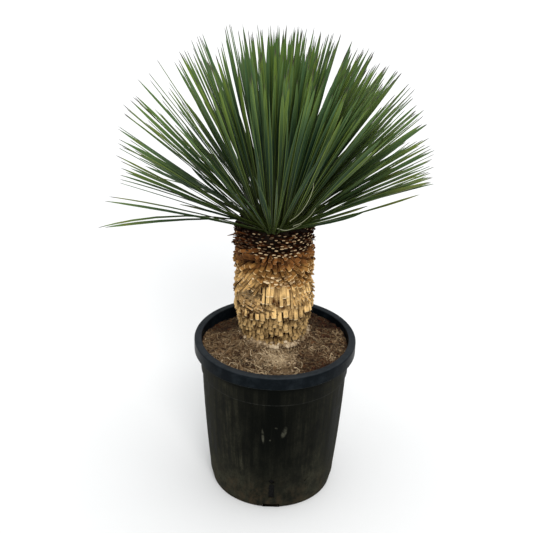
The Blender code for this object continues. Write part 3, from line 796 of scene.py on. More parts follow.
def soil_mix():
    """Dry potting mix: brown and crumbly, with red patches, holes in painted shade and a pale fibrous mat in
    front.
    """
    coat = Finish("potting_mix")
    spot = coat.spot()
    x, y, height = coat.split(spot)
    crumbs = coat.noise(spot, 125, 8, 0.76)
    patches = coat.noise(spot, 20, 4, 0.6)
    fibres = coat.noise(coat.spot(), 62, 9, 0.82, 3)
    # The near-black low end of the crumbs' colours is partly painted shade in the gaps between crumbs
    coat.colour = coat.ramp(crumbs, (0.31, (0.006, 0.003, 0.0015)), (0.45, (0.085, 0.047, 0.023)),
                            (0.57, (0.225, 0.145, 0.072)), (0.72, (0.60, 0.45, 0.27)))
    # Redder at the right, greyer at the left
    coat.stain(coat.band(coat.plus(coat.band(x, -0.06, 0.12, -0.04, 0.07), patches), 0.50, 0.60),
               (0.64, 0.4225, 0.3175))
    coat.stain(coat.band(x, -0.02, -0.12), (0.94, 0.88, 0.80))
    # Pale fibres, the mat, and painted shade between them
    coat.paint(coat.times(coat.band(fibres, 0.53, 0.61), 0.70), (0.46, 0.34, 0.205))
    mat = coat.band(coat.patch((MAT_X, MAT_Y + 0.002, 0.400), (0.044, 0.032, 0.03)), 0, 0.5)
    coat.paint(coat.times(mat, coat.band(fibres, 0.42, 0.56), 0.55), (0.60, 0.49, 0.34))
    coat.paint(coat.band(fibres, 0.45, 0.37, 0, 0.85), (0.022, 0.010, 0.004))
    coat.stain(coat.band(coat.noise(spot, 62, 5, 0.66), 0.52, 0.40, 0, 0.80), (0.34, 0.23, 0.15))
    # Painted shade: the soil is darker and redder in its shaded parts
    for shade_x, shade_y, wide in SHADED_SOIL_PARTS:
        shaded = coat.band(coat.patch((shade_x, shade_y, 0.395), (wide, 0.7 * wide, 0.03)), 0, 0.6, -0.16, 0.28)
        coat.stain(coat.band(coat.plus(shaded, patches), 0.48, 0.60, 0, 0.9), (0.44, 0.24, 0.12))
    # Painted shade in small holes
    holes = coat.band(coat.noise(coat.spot((1, 1, 1), (3, 1, 0)), 70, 5, 0.65), 0.45, 0.37)
    coat.paint(coat.times(holes, 0.85), (0.014, 0.007, 0.004))
    # Darker towards the back, as painted shade, and black below as painted shade inside the pot, where a slot
    # shows it
    coat.stain(coat.band(coat.plus(coat.band(y, -0.05, 0.11, -0.10, 0.16), patches), 0.48, 0.66),
               (0.62, 0.47, 0.36))
    coat.paint(coat.band(height, 0.370, 0.330), (0.0010, 0.0010, 0.0008))
    relief = coat.bump(fibres, 0.003, 0.8, coat.bump(crumbs, 0.006, 1))
    return coat.done(Roughness=0.95, Normal=relief, Specular_IOR_Level=0.2)


def crumb_mix(name, *stops):
    """Loose bits, each with a tone of its own."""
    coat = Finish(name)
    tone = coat.place()[3]
    grain = coat.noise(coat.spot(), 260, 4, 0.65)
    coat.colour = coat.ramp(coat.join("SUBTRACT", coat.plus(tone, coat.times(grain, 0.35)), 0.17), *stops)
    return coat.done(Roughness=0.9, Normal=coat.bump(grain, 0.0008, 0.8), Specular_IOR_Level=0.2)


def model_crumb():
    start(None)
    bpy.ops.mesh.primitive_ico_sphere_add(subdivisions=1, radius=1.0)
    crumb = bpy.context.object
    for vertex in crumb.data.vertices:
        vertex.co *= 0.85 + 0.3 * noise.noise(vertex.co * 3.0 + Vector((7.0, 0.0, 0.0)))
    return read_shape(crumb)


def tumble(chance, points, size, stretches, tipping=0.0):
    """Stretch a crumb, tip it over if it may, and turn it round."""
    shape = np.array([chance.uniform(*stretch) for stretch in stretches]) * size
    turned = Matrix.Rotation(chance.uniform(0, 6.28), 3, "Z")
    if tipping:
        turned = turned @ Matrix.Rotation(chance.gauss(0, tipping), 3, "X")
    return (points * shape) @ np.array(turned).T


def scatter_crumbs():
    """Bark crumbs and lumps of mix, lying on the soil."""
    chance = random.Random(21)
    points, faces = model_crumb()
    crumbs = Copies()
    edge = soil_edge(0.006)
    while len(crumbs.points) < CRUMB_COUNT:
        x = chance.uniform(-edge, edge)
        y = chance.uniform(-edge, edge)
        if math.hypot(x, y) > edge or from_trunk(x, y) < -0.004:
            continue
        size = CRUMB_SIZE + CRUMB_EXTRA_SIZE * chance.random() ** 3.0
        crumb = tumble(chance, points, size, ((0.7, 1.7), (0.7, 1.2), (0.4, 0.8)), 0.4)
        centre = np.array([x, y, soil_height(x, y) + 0.25 * size])
        # Painted shade: crumbs are darker towards the back and in the shaded parts
        dry = float(np.interp(y, (-0.08, 0.08), (1.0, 0.55)))
        if in_shaded_part(x, y, 0.9):
            dry *= 0.5
        crumbs.add(crumb + centre, faces, points[:, 0], points[:, 2], dry * chance.random())
    material = crumb_mix("bark_crumbs", (0.0, (0.020, 0.010, 0.005)), (0.35, (0.055, 0.028, 0.013)),
                         (0.70, (0.17, 0.100, 0.048)), (1.0, (0.42, 0.31, 0.19)))
    crumbs.join("soil_crumbs", material, "soil_mix", 30)


def scatter_fibres():
    """Pale straws and root fibres on the soil, thickest in front of the trunk."""
    chance = random.Random(8)
    points, faces = draw_out(*STRAW)
    share = points[:, 2]
    fibres = Copies()
    edge = soil_edge(0.008)
    while len(fibres.points) < FIBRE_COUNT:
        if chance.random() < MAT_SHARE:
            x = chance.gauss(MAT_X, 0.024)
            y = chance.gauss(MAT_Y, 0.018)
        else:
            x = chance.uniform(-edge, edge)
            y = chance.uniform(-edge, edge)
        if math.hypot(x, y) > edge or from_trunk(x, y) < 0.002:
            continue
        length = FIBRE_LENGTH + FIBRE_EXTRA_LENGTH * chance.random() ** 2
        half = FIBRE_HALF + FIBRE_EXTRA_HALF * chance.random() ** 3
        heading = chance.uniform(0.0, 2.0 * math.pi) + chance.gauss(0.0, 1.3) * share
        step_x = x + length * share * np.cos(heading) - points[:, 0] * half * np.sin(heading)
        step_y = y + length * share * np.sin(heading) + points[:, 0] * half * np.cos(heading)
        inside = np.minimum(1.0, edge / np.maximum(1e-6, np.hypot(step_x, step_y)))
        step_x, step_y = step_x * inside, step_y * inside
        rise = chance.uniform(0.0, 0.0035)
        ground = np.array([soil_height(*step) for step in zip(step_x, step_y)])
        up = ground + 0.0006 + rise * np.sin(math.pi * share) + points[:, 1] * half
        # Painted shade: fibres are darker towards the back and in the shaded parts
        tone = float(np.interp(y, (-0.12, 0.0), (0.85, 0.66))) * chance.random() ** 0.7
        in_mat = max(0.0, 1.0 - math.hypot(x - MAT_X, y - MAT_Y) / MAT_REACH)
        tone += 0.62 * in_mat * (1.0 - tone)
        if in_shaded_part(x, y, 0.8):
            tone *= 0.35
        fibres.add(np.stack([step_x, step_y, up], axis=1), faces, points[:, 0], share, tone)
    material = crumb_mix("straw_fibres", (0.0, (0.028, 0.014, 0.006)), (0.5, (0.25, 0.165, 0.084)),
                         (1.0, (0.72, 0.57, 0.36)))
    fibres.join("soil_fibres", material, "soil_mix", 60)


# Trunk

def on_trunk(turn, height, reach):
    """Points from a turn round the trunk, a height and a reach from its leaning axis."""
    x = TRUNK_X + TRUNK_LEAN * np.maximum(0.0, height - STUBS_START) + reach * np.cos(turn)
    y = TRUNK_Y + reach * np.sin(turn)
    return np.stack([x, y, height + 0.0 * x], axis=-1)


def from_front(turn):
    """Turn from the front, to the right as positive, between half turns."""
    return math.atan2(math.sin(turn - FRONT), math.cos(turn - FRONT))


def fan_out(turn, height):
    """How far strips lean away from the front as they go down."""
    return float(read_outline(FAN_STEEPNESS, height)) * math.tanh(2.0 * math.sin(from_front(turn)))


def nearly_level(turn, height):
    return math.copysign(NEARLY_LEVEL, from_front(turn))


def row_level(root, turn):
    """Height of a row at a turn: rows wander a little, and sag at the sides."""
    wander = 0.0045 * noise.noise(Vector((1.6 * math.cos(turn), 1.6 * math.sin(turn), 11.0 * root)))
    return root + wander - float(read_outline(ROW_SAG, math.degrees(from_front(turn))))


def steps(top, pitch, count):
    return [top - pitch * number for number in range(count)]


def build_core():
    """The dark stem behind the stubs, from its foot in the soil to its narrow top."""
    rings = [(TRUNK_FOOT_RADIUS, TRUNK_FOOT_Z), (TRUNK_FOOT_RADIUS, CORE_START)]
    for step in range(1, CORE_STEPS + 1):
        height = CORE_START + (CORE_END - CORE_START) * step / CORE_STEPS
        depth = CORE_DEPTH if height < CORE_DEEPER_FROM else CORE_DEPTH_ABOVE
        rings.append((float(read_outline(TRUNK_OUTLINE, height)) - depth, height))
    core = draw_rings(72, rings + list(CORE_CAP), "trunk_core")
    for vertex in core.data.vertices:
        x, y, z = vertex.co
        turn = math.atan2(y, x)
        rough = 0.0016 * noise.noise(Vector((turn * 9.0, z * 60.0, 1.0))) if z > STUBS_START else 0.0
        vertex.co = on_trunk(turn, z, math.hypot(x, y) + rough)
    hand_over(core, trunk_heart(), 60)
    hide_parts("trunk")


def trunk_heart():
    """Dark fibrous bark between the stubs, darkened further as painted shade under them and the head."""
    coat = Finish("trunk_heart")
    strands = coat.noise(coat.spot((160, 160, 22)), 1, 5, 0.65)
    coat.colour = coat.ramp(strands, (0.30, (0.0014, 0.00063, 0.00028)), (0.70, (0.0154, 0.0084, 0.00385)))
    return coat.done(Roughness=0.95, Normal=coat.bump(strands, 0.002, 0.9), Specular_IOR_Level=0.15)


def dry_stub(name, dark, golden, cut, cut_from, edge):
    """Dry leaf base: dark at its root, where shade is painted, golden and fibrous outside, with a pale cut
    end.
    """
    coat = Finish(name)
    place, across, along, tone, age = coat.place()
    strands = coat.noise(coat.spot((8, 1.3, 37), vector=place), 1, 5, 0.62)
    mottle = coat.noise(coat.spot(), 130, 5, 0.70)
    stain = coat.noise(coat.spot(), 24, 4, 0.62)
    light = coat.plus(coat.times(tone, 0.62), coat.times(mottle, 0.80))
    light = coat.join("SUBTRACT", light, coat.band(strands, 0.44, 0.66, 0, 0.42),
                      coat.band(stain, 0.48, 0.70, 0, 0.38))
    # Painted shade: darker towards the root, under the row above, and at the edges; a negative edge share
    # paints the edges lighter, as painted highlight
    light = coat.times(light, coat.band(along, 0.05, 0.70, 0.25),
                       coat.band(coat.absolute(across), 0.62, 1, 1, 1 - edge))
    middle = tuple(0.45 * low + 0.45 * high for low, high in zip(dark, golden))
    coat.colour = coat.ramp(light, (0.08, dark), (0.42, middle), (0.85, golden))
    pale = coat.times(coat.band(along, cut_from, cut_from + 0.02), coat.band(tone, 0.05, 0.75, 0.08))
    coat.paint(pale, cut)
    coat.stain(age, (0.42, 0.45, 0.50))
    relief = coat.bump(mottle, 0.0010, 0.8, coat.bump(strands, 0.0010, 0.9))
    return coat.done(Roughness=0.82, Normal=relief, Specular_IOR_Level=0.06)


class Cladding(Copies):
    """Copies of one shape set round the trunk, each a little different."""

    def __init__(self, chance, master=STRIP):
        super().__init__()
        self.chance = chance
        self.shape = draw_out(*master)

    def stick_out(self, turn, height, reach, depth, width, thick, slope, tone):
        """Set a peg on the trunk, pointing outwards from deep in it to its reach."""
        points, faces = self.shape
        along = points[:, 2]
        level = height + slope * depth * (along - 1.0) + points[:, 1] * thick
        round_turn = turn + points[:, 0] * width / reach
        self.add(on_trunk(round_turn, level, reach - depth * (1.0 - along)), faces, points[:, 0], along, tone)

    def hang_down(self, turn, height, length, width, thick, tilt, depth, curl, tone, age=0.0):
        """Lay a strip on the trunk, down from its root, tilted sideways, with its end curled out."""
        points, faces = self.shape
        along = points[:, 2]
        base_height = height - length * along * math.cos(tilt)
        reach = read_outline(TRUNK_OUTLINE, base_height) - depth * (1.0 - along) ** 1.3 + curl * along ** 3
        across = points[:, 0] * width
        round_turn = turn + (length * along * math.sin(tilt) + across * math.cos(tilt)) / reach
        crown = 0.22 * width * (1.0 - points[:, 0] ** 2)
        out = reach + points[:, 1] * thick + crown - 0.22 * width
        self.add(on_trunk(round_turn, base_height + across * math.sin(tilt), out), faces, points[:, 0], along,
                 tone, age)

    def clad(self, roots, length, half, gap, thick, depth, curl, stray, tone, sides=ALL_ROUND, tilt=0.0,
             missing=0.0, age=0.0):
        """Cover part of the trunk with rows of strips, side by side, whose tilt is an angle or a rule."""
        chance = self.chance
        for root in roots:
            turn = chance.uniform(-math.pi, -math.pi + 0.1)
            while turn < math.pi:
                level = row_level(root, turn) + chance.gauss(0.0, 0.0022)
                lean = tilt(turn, level) if callable(tilt) else tilt
                steep = max(0.28, math.cos(lean))
                long = chance.uniform(*length) / steep ** 0.8
                lean += chance.gauss(0.0, stray)
                wide = half * chance.uniform(0.76, 1.10)
                thicker = thick * chance.uniform(0.7, 1.4)
                curled = chance.uniform(*curl)
                shade = chance.uniform(*tone)
                kept = chance.random() >= missing
                if kept and sides[0] < math.degrees(from_front(turn)) < sides[1]:
                    self.hang_down(turn, level, long, wide, thicker, lean, depth, curled, shade, age)
                step = (2.0 * half + gap) * chance.uniform(0.90, 1.10) / steep
                turn += step / read_outline(TRUNK_OUTLINE, level)

    def finish(self, piece, name, dark, golden, cut, cut_from=0.955, edge=0.6):
        self.join(piece, dry_stub(name, dark, golden, cut, cut_from, edge), "dry_leaf_stubs", 35)


def build_cut_stubs():
    """The newest stubs, under the head: rows of short pegs, smaller towards the top, and darker there as
    painted shade under the head.
    """
    chance = random.Random(3)
    pegs = Cladding(chance, PEG)
    count = 37
    rows = 8
    for row in range(rows):
        share = row / (rows - 1)
        for number in range(count):
            turn = (number + 0.5 * (row % 2) + chance.gauss(0.0, 0.13)) * 2.0 * math.pi / count
            level = 0.6500 + 0.0077 * row + chance.gauss(0.0, 0.0014)
            reach = float(read_outline(TRUNK_OUTLINE, level)) + chance.gauss(-0.0005, 0.0022)
            width = (0.0055 - 0.0009 * share) * chance.uniform(0.80, 1.10)
            thick = (0.0022 - 0.0004 * share) * chance.uniform(0.70, 1.15)
            dim = 0.25 if from_front(turn) < -0.60 else 1.0
            # Painted shade: the tone falls towards the top rows, under the head
            tone = chance.uniform(0.15, 1.0) * (1.0 - 0.55 * share) * dim
            pegs.stick_out(turn, level, reach, 0.024, width, thick, chance.gauss(0.05, 0.18), tone)
    pegs.finish("cut_leaf_stubs", "cut_stub", (0.004, 0.0008, 0.0002), (0.040, 0.010, 0.002),
                (0.48, 0.35, 0.20), 0.975, 0.3)


def build_thatch():
    """Thin dark fins and shards among the newest stubs, most of them at the left."""
    fins = Cladding(random.Random(91))
    fins.clad(steps(0.700, 0.0062, 9), (0.012, 0.020), 0.0022, 0.0030, 0.0010, 0.010, (0.001, 0.010), 0.22,
              (0.0, 0.7), (-125.0, -28.0), nearly_level, 0.15)
    fins.clad(steps(0.704, 0.0100, 6), (0.010, 0.018), 0.0020, 0.0040, 0.0010, 0.010, (0.000, 0.006), 0.30,
              (0.0, 0.5), (28.0, 240.0), nearly_level, 0.45)
    fins.clad(steps(0.700, 0.0077, 7), (0.009, 0.014), 0.0026, 0.0016, 0.0009, 0.010, (-0.005, -0.001), 0.25,
              (0.0, 0.8), (-30.0, 30.0), nearly_level, 0.25)
    fins.shape = draw_out(*SHARD)
    for side, level, out, slope, tone in SHARDS:
        reach = float(read_outline(TRUNK_OUTLINE, level)) + out
        fins.stick_out(FRONT + math.radians(side), level, reach, 0.034, 0.0045, 0.0026, slope, tone)
    fins.finish("thatch_fins", "dark_thatch", (0.004, 0.001, 0.0003), (0.110, 0.036, 0.009),
                (0.40, 0.26, 0.13), 0.93, 0.2)


def build_shingles():
    """Older stubs, which lie over each other and fan away from the front as they go down."""
    chance = random.Random(14)
    bands = Cladding(chance)
    bands.clad(steps(0.658, 0.0066, 5), (0.010, 0.014), 0.0046, 0.0010, 0.0026, 0.011, (0.001, 0.007), 0.16,
               (0.0, 0.9), (-22.0, 250.0), fan_out)
    bands.clad(steps(0.667, 0.0100, 5), (0.020, 0.026), 0.0048, 0.0010, 0.0018, 0.008, (0.000, 0.004), 0.05,
               (0.2, 1.0), (-116.0, -14.0), nearly_level)
    # Their edges are painted lighter, as highlight
    bands.finish("banded_stubs", "band_strip", (0.008, 0.0018, 0.0004), (0.235, 0.094, 0.025),
                 (0.50, 0.32, 0.16), 0.955, -0.50)
    fans = Cladding(chance)
    for top, count, sides in ((0.634, 3, ALL_ROUND), (0.6094, 4, (-24.0, 262.0))):
        fans.clad(steps(top, 0.0080, count), (0.013, 0.018), 0.0054, 0.0008, 0.0034, 0.012, (0.002, 0.009),
                  0.17, (0.0, 1.0), sides, fan_out)
    fans.finish("fanned_stubs", "shingle_strip", (0.012, 0.0026, 0.0005), (0.360, 0.175, 0.048),
                (0.62, 0.42, 0.20), 0.90)


def build_hanging_strips():
    """The golden strips of the middle: long at the right and back, slanting at the left, and a skirt."""
    chance = random.Random(29)
    strips = Cladding(chance)
    strips.clad((0.596,), (0.046, 0.056), 0.0052, 0.0020, 0.0018, 0.006, (0.001, 0.005), 0.06, (0.4, 1.0),
                RIGHT_AND_BACK, missing=0.50)
    strips.clad((0.585,), (0.060, 0.070), 0.0053, 0.0018, 0.0018, 0.004, (-0.001, 0.002), 0.04, (0.2, 1.0),
                RIGHT_AND_BACK)
    strips.clad((0.583, 0.560), (0.044, 0.054), 0.0058, 0.0006, 0.0016, 0.006, (-0.004, -0.003), 0.05,
                (0.0, 0.35), RIGHT_AND_BACK)
    strips.clad((0.600, 0.580), (0.048, 0.060), 0.0052, 0.0022, 0.0018, 0.009, (-0.001, 0.002), 0.05,
                (0.1, 0.9), BACK_LEFT, missing=0.10)
    strips.clad((0.580,), (0.050, 0.058), 0.0048, 0.0028, 0.0016, 0.012, (-0.001, 0.001), 0.08, (0.1, 0.7),
                (-90.0, 4.0))
    # The skirt: a dark under layer and a pale row over it
    strips.clad((0.538, 0.531), (0.030, 0.040), 0.0042, 0.0030, 0.0016, 0.012, (-0.004, -0.002), 0.06,
                (0.0, 0.3))
    strips.clad((0.527,), (0.034, 0.042), 0.0064, 0.0016, 0.0030, 0.008, (0.000, 0.003), 0.03, (0.3, 1.0),
                missing=0.02)
    strips.finish("hanging_strips", "golden_strip", (0.050, 0.015, 0.003), (0.88, 0.575, 0.235),
                  (0.82, 0.64, 0.38))
    slants = Cladding(chance)
    slants.clad(steps(0.619, 0.0130, 4), (0.034, 0.046), 0.0050, 0.0014, 0.0030, 0.013, (0.001, 0.006), 0.05,
                (0.1, 1.0), (-112.0, -9.0), SLANTING)
    slants.clad(steps(0.578, 0.0120, 4), (0.020, 0.028), 0.0042, 0.0014, 0.0024, 0.009, (0.002, 0.007), 0.12,
                (0.0, 0.9), (27.0, 96.0), LEANING_OUT, 0.05)
    slants.finish("slanting_strips", "slanting_strip", (0.022, 0.0055, 0.0012), (0.68, 0.410, 0.150),
                  (0.76, 0.57, 0.33), 0.95)


def build_torn_patch():
    """The tangle of short bits at the front left, with an old grey wound and a small knob."""
    chance = random.Random(77)
    between = chance.uniform
    bits = Cladding(chance)
    bits.clad(steps(0.547, 0.0068, 5), (0.015, 0.020), 0.0030, 0.0006, 0.0024, 0.004, (0.001, 0.004), 0.06,
              (0.0, 1.0), (-84.0, -36.0), SWIRLING)
    bits.clad((0.5165, 0.5125), (0.014, 0.020), 0.0022, 0.0006, 0.0012, 0.004, (0.000, 0.001), 0.10,
              (0.0, 0.1), (-70.0, -14.0), SWIRLING, age=0.5)
    for number in range(24):
        turn = FRONT - math.radians(between(6.0, 70.0))
        level = row_level(between(0.510, 0.546), turn)
        lean = chance.choice((-1.2, 1.2, 0.5)) + chance.gauss(0.0, 0.3)
        bits.hang_down(turn, level, between(0.010, 0.018), between(0.0014, 0.0030), 0.0015, lean, 0.005,
                       between(0.000, 0.005), between(0.0, 0.9), 0.1)
    # The wound
    for number in range(80):
        turn = FRONT + math.radians(chance.gauss(-32.0, 6.5))
        level = chance.gauss(0.546, 0.0036)
        bits.hang_down(turn, level, between(0.008, 0.016), between(0.0010, 0.0022), 0.0012,
                       between(-2.4, -0.6), 0.004, between(0.004, 0.009), between(0.3, 1.0),
                       between(0.3, 0.9))
    # The knob, at the far left
    for number in range(9):
        turn = math.pi + chance.gauss(0.10, 0.04)
        level = chance.gauss(0.526, 0.0025)
        bits.hang_down(turn, level, between(0.006, 0.010), 0.0026, 0.0014, between(-3.1, 3.1), 0.003,
                       between(0.002, 0.006), 0.1, 0.4)
    bits.finish("torn_patch", "torn_bit", (0.020, 0.006, 0.0015), (0.60, 0.370, 0.150), (0.66, 0.50, 0.30),
                0.955, 0.2)


def build_curled_ends():
    """A few rows of pale stub ends that curl out above the long strips."""
    chance = random.Random(57)
    ends = Cladding(chance, PEG)
    count = 38
    for row in range(5):
        for number in range(count):
            turn = (number + 0.5 * (row % 2) + chance.gauss(0.0, 0.22)) * 2.0 * math.pi / count
            level = 0.6000 - 0.0065 * row + chance.gauss(0.0, 0.0024)
            reach = float(read_outline(TRUNK_OUTLINE, level)) + chance.gauss(0.0060, 0.0020)
            width = 0.0048 * chance.uniform(0.75, 1.20)
            thick = 0.0027 * chance.uniform(0.7, 1.2)
            slope = chance.gauss(-0.7, 0.30)
            tone = chance.random()
            share = 0.80 if -14.0 < math.degrees(from_front(turn)) < 44.0 else 0.12
            if chance.random() < share:
                ends.stick_out(turn, level, reach, 0.016, width, thick, slope, tone)
    ends.finish("curled_stub_ends", "curled_end", (0.020, 0.006, 0.0015), (0.40, 0.205, 0.065),
                (0.68, 0.51, 0.30), 0.955, 0.4)


def build_low_stubs():
    """The oldest stubs: fine dark fibre under the skirt, then short rough pieces down to the soil."""
    stubs = Cladding(random.Random(41))
    stubs.clad(steps(0.500, 0.0060, 4), (0.012, 0.020), 0.0022, 0.0022, 0.0010, 0.007, (-0.003, 0.000), 0.20,
               (0.0, 0.35))
    stubs.clad(steps(0.484, 0.0092, 7), (0.012, 0.017), 0.0056, 0.0012, 0.0018, 0.007, (-0.001, 0.003), 0.13,
               (0.0, 1.0))
    stubs.clad((0.432, 0.426), (0.014, 0.022), 0.0034, 0.0020, 0.0016, 0.006, (0.000, 0.005), 0.30,
               (0.0, 1.0), missing=0.05, age=0.2)
    stubs.finish("old_stubs", "old_stub", (0.024, 0.007, 0.0015), (0.56, 0.360, 0.145), (0.66, 0.52, 0.30),
                 0.945)


def build_base_crumbs():
    """Pale crumbled bits where the trunk meets the soil, most of them in front."""
    chance = random.Random(17)
    points, faces = model_crumb()
    bits = Copies()
    while len(bits.points) < BASE_BIT_COUNT:
        turn = chance.uniform(0.0, 2.0 * math.pi)
        height = 0.4060 + 0.020 * chance.random() ** 1.6
        size = 0.0024 + 0.0048 * chance.random() ** 1.5
        out = chance.uniform(-0.001, 0.009)
        if abs(from_front(turn)) >= 0.8 and chance.random() < 0.8:
            continue
        centre = on_trunk(turn, height, float(read_outline(TRUNK_OUTLINE, height)) + out)
        lying = soil_height(centre[0], centre[1]) + 0.5 * size + (0.008 if out < 0.0 else 0.0)
        centre[2] = min(height + 0.004, lying)
        bit = tumble(chance, points, size, ((0.7, 1.5), (0.7, 1.3), (0.6, 1.2)))
        bits.add(bit + centre, faces, points[:, 0], points[:, 2], chance.random())
    material = crumb_mix("pale_bits", (0.0, (0.10, 0.064, 0.034)), (0.5, (0.34, 0.240, 0.135)),
                         (1.0, (0.66, 0.53, 0.36)))
    bits.join("pale_base_bits", material, "dry_leaf_stubs", 30)


# Leaf head

def leaf_direction(polar, turn):
    """Unit vector at an angle from the head's axis, which leans to the back."""
    flat = math.sin(polar)
    upright = Vector((flat * math.cos(turn), flat * math.sin(turn), math.cos(polar)))
    return Matrix.Rotation(-HEAD_LEAN, 3, "X") @ upright


def model_leaf(outline):
    """One leaf, a metre long for now: shallow V above, keeled below, drawn out to a sharp tip."""
    stations = [(share, half, 0.0011 + 0.12 * half) for share, half in outline]
    points, faces = draw_out(4, stations, LEAF_DENT)
    return points, faces, points[:, 0] / np.maximum(read_outline(outline, points[:, 2]), 1e-5)


def lay_leaf(leaves, shape, root, tip, twist, width, arch, bow, roll, tone, age, pale_from=0.0):
    """Set one leaf between its root and its tip, a little arched, bowed and rolled."""
    points, faces, across = shape
    share = points[:, 2]
    axis = (tip - root).normalized()
    turn = math.atan2(axis.y, axis.x)
    flat = Matrix.Rotation(twist, 3, axis) @ Vector((-math.sin(turn), math.cos(turn), 0.0))
    flat, above = np.array(flat), np.array(axis.cross(flat))
    belly = 4.0 * share * (1.0 - share)
    centre = np.array(root) + np.outer(share, np.array(tip - root))
    centre = centre + np.outer(arch * belly, np.array((0.0, 0.0, 1.0))) + np.outer(bow * belly, flat)
    angle = roll * (share - 0.4)
    side = np.outer(np.cos(angle), flat) + np.outer(np.sin(angle), above)
    over = np.outer(np.cos(angle), above) - np.outer(np.sin(angle), flat)
    laid = centre + side * (points[:, 0] * width)[:, None] + over * points[:, 1][:, None]
    leaves.add(laid, faces, across, pale_from + (1.0 - pale_from) * share, tone, age)


def seen_from_front(direction):
    """Degrees from upright at which a direction shows in the photo's view."""
    up = Vector((0.0, math.sin(CAMERA_DOWN), math.cos(CAMERA_DOWN)))
    return math.degrees(math.atan2(direction.x, direction.dot(up)) + CAMERA_ROLL)


def move_off_partings(direction):
    """Turn a leaf in the front view, where it would close one of the partings."""
    view = Vector((0.0, math.cos(CAMERA_DOWN), -math.sin(CAMERA_DOWN)))
    for middle, half_gap in PARTINGS:
        offset = seen_from_front(direction) - middle
        if abs(offset) < half_gap:
            missing = math.copysign(half_gap, offset) - offset
            return Matrix.Rotation(math.radians(missing), 3, view) @ direction
    return direction


def spiral(leaves, shape, count, seed, shortest, kept_share):
    """A spiral of leaves, young and upright at the top, old and spread below."""
    chance = random.Random(seed)
    looks = random.Random(seed + 1)
    for number in range(count):
        age = (number + 0.5) / count
        polar = LEAF_SPREAD * age ** LEAF_SPREAD_POWER + chance.gauss(0.0, LEAF_JITTER)
        turn = number * GOLDEN_ANGLE + chance.gauss(0.0, LEAF_JITTER)
        start_from = leaf_direction(min(LEAF_ROOT_SPREAD_LIMIT, polar * LEAF_ROOT_SPREAD), turn)
        flat = Vector((start_from.x, start_from.y, 0.0)) * (LEAF_ROOT_RADIUS + LEAF_ROOT_SLOPE * age)
        root = HEAD_CENTRE + flat + Vector((0.0, 0.0, start_from.z * LEAF_ROOT_RISE))
        polar *= 1.0 - FRONT_UPRIGHT * max(0.0, -math.sin(turn)) ** FRONT_NARROWING
        reach = float(read_outline(LEAF_REACH, math.degrees(polar)))
        reach *= 1.0 - (1.0 - shortest) * chance.random() ** 2
        twist = chance.gauss(0.0, LEAF_TWIST)
        arch = LEAF_ARCH * age * chance.uniform(0.2, 1.0)
        width = YOUNG_LEAF_WIDTH + (1.0 - YOUNG_LEAF_WIDTH) * min(1.0, 4.0 * age)
        direction = move_off_partings(leaf_direction(polar, turn))
        seen = seen_from_front(direction)
        if FAR_SIDE[0] < seen < FAR_SIDE[1]:
            reach *= FAR_SIDE_REACH
        width *= read_outline(LEAF_WIDTHS, seen) * looks.uniform(0.75, 1.05)
        bow = looks.gauss(0.0, 0.004)
        roll = looks.gauss(0.0, 0.5)
        tone = looks.random()
        if looks.random() < read_outline(kept_share, seen):
            tip = HEAD_CENTRE + reach * direction
            lay_leaf(leaves, shape, root, tip, twist, width, arch, bow, roll, tone, polar / LEAF_SPREAD)


def tip_at(turn, rise, reach):
    """Level direction and tip of a leaf, at a turn from +X, a height angle and a reach from the centre."""
    turn, rise = math.radians(turn), math.radians(rise)
    level = Vector((math.cos(turn), math.sin(turn), 0.0))
    return level, HEAD_CENTRE + reach * (level * math.cos(rise) + Vector((0.0, 0.0, math.sin(rise))))


def build_leaves():
    """The head of leaves: the measured spiral, finer leaves between, and those placed singly."""
    shape = model_leaf(LEAF_STATIONS)
    leaves = Copies()
    spiral(leaves, shape, LEAF_COUNT, LEAF_SEED, LEAF_SHORTEST, MAIN_SHARE)
    spiral(leaves, shape, FILL_LEAVES, FILL_SEED, FILL_SHORTEST, FILL_SHARE)
    looks = random.Random(5)
    around = looks.gauss
    for turn, rise, reach, arch in LOW_LEAVES:
        level, tip = tip_at(turn, rise, reach)
        root = HEAD_CENTRE + level * LOW_ROOT_RADIUS + Vector((0.0, 0.0, 0.006))
        if level.y < 0.2 and rise > 5.0:
            root = FRONT_ROOT + Vector((0.020 * level.x, looks.uniform(0.0, 0.010), around(0.003, 0.003)))
        lay_leaf(leaves, shape, root, tip, around(0.0, 0.2), LOW_LEAF_WIDTH, arch, around(0.0, 0.006),
                 around(0.0, 0.3), looks.random(), 1.0)
    drawn_out = model_leaf(FRONT_STATIONS)
    for turn, rise, reach, arch, width in FRONT_LEAVES:
        level, tip = tip_at(turn, rise, reach)
        root = FRONT_ROOT + Vector((0.5 * level.x * LOW_ROOT_RADIUS, around(0.0, 0.003), around(0.0, 0.002)))
        lay_leaf(leaves, drawn_out, root, tip, around(0.0, 0.35), width, arch, around(0.0, 0.006),
                 around(0.0, 0.3), 0.75 if width < 0.5 else looks.uniform(0.0, 0.6), 0.6, FRONT_PALE_FROM)
    for turn, count, lowest, highest, shorter, longer in SWEPT_LEAVES:
        for number in range(count):
            share = (number + looks.random()) / count
            level, tip = tip_at(turn + around(0.0, 6.0), lowest + (highest - lowest) * share,
                                shorter + (longer - shorter) * share)
            root = FRONT_ROOT + Vector((around(0.0, 0.006) + 0.008 * level.x, around(0.004, 0.003),
                                        0.002 + 0.007 * share + around(0.0, 0.002)))
            lay_leaf(leaves, shape, root, tip, around(0.0, 0.5), looks.uniform(0.60, 1.0),
                     looks.uniform(-0.004, 0.008), around(0.0, 0.005), around(0.0, 0.4), looks.random(),
                     looks.uniform(0.6, 1.0))
    piece = leaves.join("green_leaves", green_leaf(), "green_leaf", 50)
    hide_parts("leaf_head")


